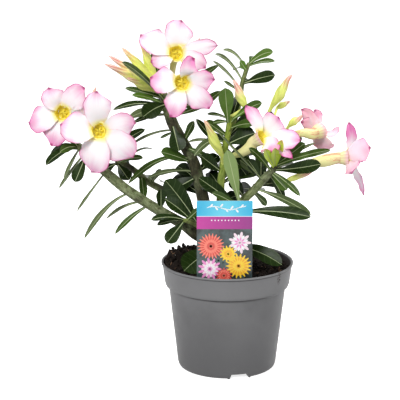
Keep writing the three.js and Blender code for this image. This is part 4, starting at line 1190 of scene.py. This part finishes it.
# Age and brownness of the stems, from foot to tip
STEM_LOOKS = {
    "left_branch": [(1.0, 0.45), (0.8, 0.15)],
    "middle_left_branch": [(1.0, 1.0), (0.7, 0.6)],
    "upright_branch": [(1.0, 1.4), (0.8, 0.5)],
    "centre_branch": [(0.6, 1.0), (-0.3, -0.8)],
    "top_right_branch": [(0.3, 0.1), (0.6, 0.1)],
    "right_branch": [(0.4, -0.5), (1.0, 0.9)],
    "low_left_shoot": [(0.9, 0.5), (0.4, 0.2)],
    "low_right_shoot": [(0.9, 0.4), (0.4, 0.1)],
}
STEM_SIDES = 20
STEM_STEPS = 7
STEM_KNOTS = 0.08
STEM_GRAIN = 0.03
CAUDEX_SIDES = 48
CAUDEX_STEPS = 8


def stem_stops(rows):
    return [Vector((*spot(right, up, back), radius)) for right, up, back, radius in rows]


def add_stem(bm, rows, looks, draw):
    def shape(angle, share):
        knots = noise.noise(ring_point(1, angle, 9 * share + 31 * draw))
        return 1 + STEM_KNOTS * knots + STEM_GRAIN * noise.noise(ring_point(2.5, angle, 30 * share))

    stops = smooth_path(stem_stops(rows), STEM_STEPS)
    add_rod(bm, stops, STEM_SIDES, [(*look, draw) for look in looks], shape)


def make_branch(name, stems, leaves):
    bm = new_bmesh()
    draws = random.Random(f"{name} {SEED}")
    for rows in stems:
        add_stem(bm, rows, STEM_LOOKS[name], draws.random())
    for row, look in zip(leaves, LEAF_LOOKS[name]):
        add_leaf(bm, row, look, draws.random())
    finish_piece(f"{name}_leafy" if stems else f"{name}_blade", bm, [BARK, LEAF], [name])


def make_caudex():
    def shape(angle, share):
        ribs = 0.05 * math.sin(3 * angle + 4 * share) + 0.03 * math.sin(7 * angle - 3 * share)
        return 1 + ribs * (1 - share) + STEM_GRAIN * noise.noise(ring_point(1, angle, 5 * share))

    bm = new_bmesh()
    add_rod(bm, smooth_path(stem_stops(CAUDEX), CAUDEX_STEPS), CAUDEX_SIDES, [(0.95, 0.15, 0.5)], shape)
    finish_piece("swollen_trunk", bm, [BARK], ["caudex"])


# Blooms

PETAL_OUTLINE = [(0, 0.46), (0.3, 0.9), (0.62, 1)]
PETAL_ROUNDING = 2.05
PETAL_COLUMNS = 18
PETAL_ROWS = 22
PETAL_BODY = 0.5
PETAL_POINT = 3
PETAL_CRIMP = 0.035
PETAL_RUFFLE = 0.7
PETAL_END_WAVE = 0.5
# How pink each petal is, in the order of the bloom's rows
BLOOM_PINK = {
    "bloom_left_front": [0.25, 0.45, 0.4, 0.5, 0.4],
    "bloom_left_back": [0.4, 0.55, 0.5, 0.9, 0.8],
    "bloom_top": [0.3, 0.3, 0.2, 0.35, 0.4],
    "bloom_top_front": [0.7, 1.05, 0.7, 0.65, 0.85],
    "bloom_middle": [0.8, 0.75, 0.75, 0.95, 0.9],
    "bloom_right_back": [0.9, 1.6, 0.8, 0.8, 0.8],
    "bloom_right_front": [1.6, 1.0, 1.0, 1.2, 1.1],
}
# How red the streaks of each tube are
TUBE_BLUSH = {"bloom_middle": 0.35, "bloom_right_back": 0.9, "bloom_right_front": 0.85}
# The funnel's wall, once round: radius and height over the throat's plane
FUNNEL = [
    (THROAT_RADIUS + 0.7, 0.5), (THROAT_RADIUS - 0.5, 0.15), (THROAT_RADIUS - 1.4, -1.6),
    (THROAT_FOOT_RADIUS - 0.5, -THROAT_DEPTH), (THROAT_FOOT_RADIUS, -THROAT_DEPTH),
    (THROAT_RADIUS, -0.6), (THROAT_RADIUS + 0.7, 0.5),
]
FUNNEL_SIDES = 40
FUNNEL_STEPS = 4
FIVE_SIDED = 0.03
# The tube's start under the funnel: how far below it, and how much thinner
TUBE_START = [(GAP, 0.4), (5, 0.6)]
TUBE_SIDES = 24
TUBE_STEPS = 6
TUBE_WELL = 2
ANTHERS = 5
ANTHER_SIDES = 8
# How far off the axis the anthers start and meet, and how deep they meet
ANTHER_OUT = 4
ANTHER_IN = 0.8
ANTHER_TOP = 2.6
# An anther from foot to top: share of its length, radius
ANTHER = [(0, 1.3), (0.4, 1.1), (0.8, 0.6), (1, 0.2)]


def add_petal(bm, throat, faces, row, pink, draw):
    right, up, back, width, arch, *roll = row
    tip = spot(right, up, back)
    out = tip - throat
    out = (out - faces * out.dot(faces)).normalized()
    base = throat + out * (THROAT_RADIUS - THROAT_WALL * 1.3) - faces * 0.6
    along = (tip - base).normalized()
    facing = Quaternion(along, math.radians(roll[0] if roll else PETAL_ROLL_DEG)) @ faces
    half = width / 2
    length = (tip - base).length
    phase = WAVE_START * draw

    def place(s, t):
        x, upper = across_blade(s)
        middle, side, normal = arched(base, tip, faces * arch, facing, t)
        crimp = PETAL_CRIMP * (math.sin(23 * t + phase) + math.sin(11 * t - 2 * phase + 3 * x))
        # Fuller on one side of its point than on the other
        corner = 0.66 + (0.16 + 0.1 * draw) * x
        reach = half * blade_share(PETAL_OUTLINE, PETAL_ROUNDING, corner, t) * (1 + crimp * t)
        lift = half * x * x * PETAL_CUP * (1 - 2 * t)
        lift += half * x * PETAL_WAVE * math.sin(7 * t + 2 * x)
        ruffle = abs(x) ** 5 * (1 - t) ** 0.3 * min(t * 3, 1)
        lift += PETAL_RUFFLE * ruffle * math.sin(16 * t + phase + 3 * x)
        lift += PETAL_END_WAVE * t * t * math.sin(5 * x + phase)
        if not upper:
            lift -= PETAL_BODY * (1 - x * x) ** 0.5
        off_edge = min(reach * (1 - abs(x)), (1 - t) * length * (0.55 + 0.45 * abs(x)))
        co = middle + along * (PETAL_POINT * t ** 12) + side * (reach * x) + normal * lift
        return co, Vector((x, t, off_edge)), Vector((pink, draw, upper))

    add_sheet(bm, 2 * PETAL_COLUMNS, PETAL_ROWS, place)


def make_bloom(name, throat, faces, tube, petals):
    """The petals with their funnel, and the tube with the anthers that stand in the funnel."""
    throat = spot(*throat)
    faces = Vector(faces).normalized()
    turn = Vector((0, 0, 1)).rotation_difference(faces)
    bm = new_bmesh()
    draws = random.Random(f"{name} {SEED}")
    for row, pink in zip(petals, BLOOM_PINK[name]):
        add_petal(bm, throat, faces, row, pink, draws.random())
    funnel = smooth_path([Vector(stop) for stop in FUNNEL], FUNNEL_STEPS)
    count = len(funnel) - 1

    def place(s, t):
        radius, height = funnel[round(t * count)]
        angle = FULL_TURN * s
        rim = ring_point(radius * (1 + FIVE_SIDED * math.cos(5 * angle)), angle, height)
        return turn @ rim + throat, Vector((s, t, -height)), Vector()

    add_sheet(bm, FUNNEL_SIDES, count, place, 1)
    finish_piece(f"{name}_corolla", bm, PETAL_FINISHES, [f"{name}_petals"])

    bm = new_bmesh()
    draws = random.Random(f"{name} tube {SEED}")
    start = [Vector((*(throat - faces * (THROAT_DEPTH + below)), THROAT_FOOT_RADIUS - thinner))
             for below, thinner in TUBE_START]
    add_rod(bm, smooth_path(start + stem_stops(tube), TUBE_STEPS), TUBE_SIDES,
            [(TUBE_BLUSH.get(name, 0.6), 0, 0)],
            lambda angle, share: 1 + 0.035 * math.cos(5 * angle) * (1 - share), TUBE_WELL)
    for index in range(ANTHERS):
        ring = turn @ ring_point(1, FULL_TURN * (index + draws.random() * 0.3) / ANTHERS)
        foot = throat + ring * ANTHER_OUT - faces * (THROAT_DEPTH + TUBE_WELL - 0.5)
        top = throat + ring * ANTHER_IN - faces * ANTHER_TOP
        stops = [Vector((*foot.lerp(top, share), radius)) for share, radius in ANTHER]
        add_rod(bm, stops, ANTHER_SIDES, [(0, 0, 1)])
    finish_piece(f"{name}_neck", bm, [TUBE], [f"{name}_tube"])


# Buds

BUD_OUTLINE = [(0, 0.44), (0.26, 0.92), (0.46, 1), (0.74, 0.6), (0.93, 0.34), (1, 0.08)]
BUD_POINT = 0.06
BUD_STALK = 0.36
BUD_SIDES = 30
BUD_STEPS = 30
BUD_TURNS = 0.55
BUD_BEND = 1.4
BUD_FOLD = 0.09


def add_bud(bm, row, draw):
    start, foot, tip = spot(*row[:3]), spot(*row[3:6]), spot(*row[6:9])
    radius = row[9]
    stops = [Vector((*start.lerp(foot, share), radius * (BUD_STALK + 0.08 * share ** 3)))
             for share in (0, 0.25, 0.5, 0.75, 0.95)]
    bend = (tip - foot).cross(ring_point(1, 9 * draw, 0.5)).normalized() * BUD_BEND
    for step in range(BUD_STEPS + 1):
        t = step / BUD_STEPS
        point = foot.lerp(tip, t) + bend * math.sin(FULL_TURN * t) * t
        stops.append(Vector((*point, radius * max(curve_value(BUD_OUTLINE, t), BUD_POINT))))
    stalk, spindle = (foot - start).length, (tip - foot).length
    begins = stalk / (stalk + spindle)

    def shape(angle, share):
        body = min(max((share - begins) / (1 - begins), 0), 1)
        depth = BUD_FOLD * min(body * 3, 1)
        return 1 + depth * math.cos(5 * (angle + FULL_TURN * BUD_TURNS * body)) - depth * 0.5

    add_rod(bm, stops, BUD_SIDES, [(0.35 + 0.25 * draw, BUD_TURNS, 0)], shape)


def make_buds(name, rows):
    bm = new_bmesh()
    draws = random.Random(f"{name} {SEED}")
    for row in rows:
        add_bud(bm, row, draws.random())
    finish_piece(f"{name}_twisted", bm, [BUD], [name])


# The camera, the light and the floor

PICTURE_WIDTH = 400
# Place, width and power of each light. All of them are turned to the lit point
LIGHTS = {
    "key": ((-0.6, -1.5, 1.3), 0.8, 28),
    "fill": ((1.5, -1.0, 0.9), 0.9, 8),
    "top": ((0.2, 0.4, 1.6), 0.4, 12),
}
LIT_POINT = Vector((0, 0, 0.18))
SKY_STRENGTH = 0.45
STUDIO_RADIUS = 30
STUDIO_WALL = 5


def make_camera():
    camera = bpy.data.cameras.new("camera")
    camera.sensor_width = 36
    camera.lens = camera.sensor_width * EYE_REACH / PICTURE_WIDTH
    camera.clip_end = 100
    eye = in_scene("camera", camera)
    eye.location = EYE * MM
    eye.rotation_euler = (math.pi / 2 - EYE_PITCH, 0, 0)
    bpy.context.scene.camera = eye


def make_light(name, place, size, power):
    light = bpy.data.lights.new(name, "AREA")
    light.shape = "DISK"
    light.size = size
    light.energy = power
    lamp = in_scene(name, light)
    lamp.location = place
    lamp.rotation_euler = (Vector(place) - LIT_POINT).to_track_quat("Z", "Y").to_euler()


def make_studio():
    world = bpy.data.worlds.new("studio")
    world.use_nodes = True
    sky = world.node_tree.nodes["Background"]
    sky.inputs["Color"].default_value = (1, 1, 1, 1)
    sky.inputs["Strength"].default_value = SKY_STRENGTH
    bpy.context.scene.world = world
    bpy.context.scene.view_settings.view_transform = "Standard"
    for name, row in LIGHTS.items():
        make_light(name, *row)
    bm = bmesh.new()
    bmesh.ops.create_circle(bm, cap_ends=True, segments=96, radius=STUDIO_RADIUS)
    wall = bmesh.ops.extrude_edge_only(bm, edges=bm.edges[:])["geom"]
    bmesh.ops.translate(bm, verts=verts_of(wall), vec=(0, 0, STUDIO_WALL))
    floor = new_object("floor", bm)
    floor.visible_diffuse = False
    paper = Finish("white_paper", 0.9, 0.1, Emission_Color=(1, 1, 1), Emission_Strength=0.75)
    floor.data.materials.append(paper.painted(mix(paper.noise(3), (0.93, 0.93, 0.93), (0.95, 0.95, 0.95))))


BRANCHES = {
    "upright_branch": ([UPRIGHT_STEM], UPRIGHT_LEAVES),
    "left_branch": ([LEFT_STEM], LEFT_LEAVES),
    "middle_left_branch": ([MIDDLE_LEFT_STEM], MIDDLE_LEFT_LEAVES),
    "centre_branch": ([CENTRE_STEM], CENTRE_LEAVES),
    "top_right_branch": ([TOP_RIGHT_STEM], TOP_RIGHT_LEAVES),
    "right_branch": ([RIGHT_STEM, RIGHT_STALK, RIGHT_STALK_FORK], RIGHT_LEAVES),
    "low_left_shoot": ([LOW_LEFT_STEM], LOW_LEFT_LEAVES),
    "low_right_shoot": ([LOW_RIGHT_STEM], LOW_RIGHT_LEAVES),
    "base_left_leaf": ([], BASE_LEFT_LEAF),
    "base_right_leaf": ([], BASE_RIGHT_LEAF),
}

make_camera()
make_studio()
make_pot()
make_soil()
make_label()
make_print()
make_caudex()
for branch, (branch_stems, branch_leaves) in BRANCHES.items():
    make_branch(branch, branch_stems, branch_leaves)
for bloom in BLOOMS:
    make_bloom(**bloom)
make_buds("top_bud_bunch", TOP_BUD_BUNCH)
for bud, bud_row in SINGLE_BUDS.items():
    make_buds(bud, [bud_row])
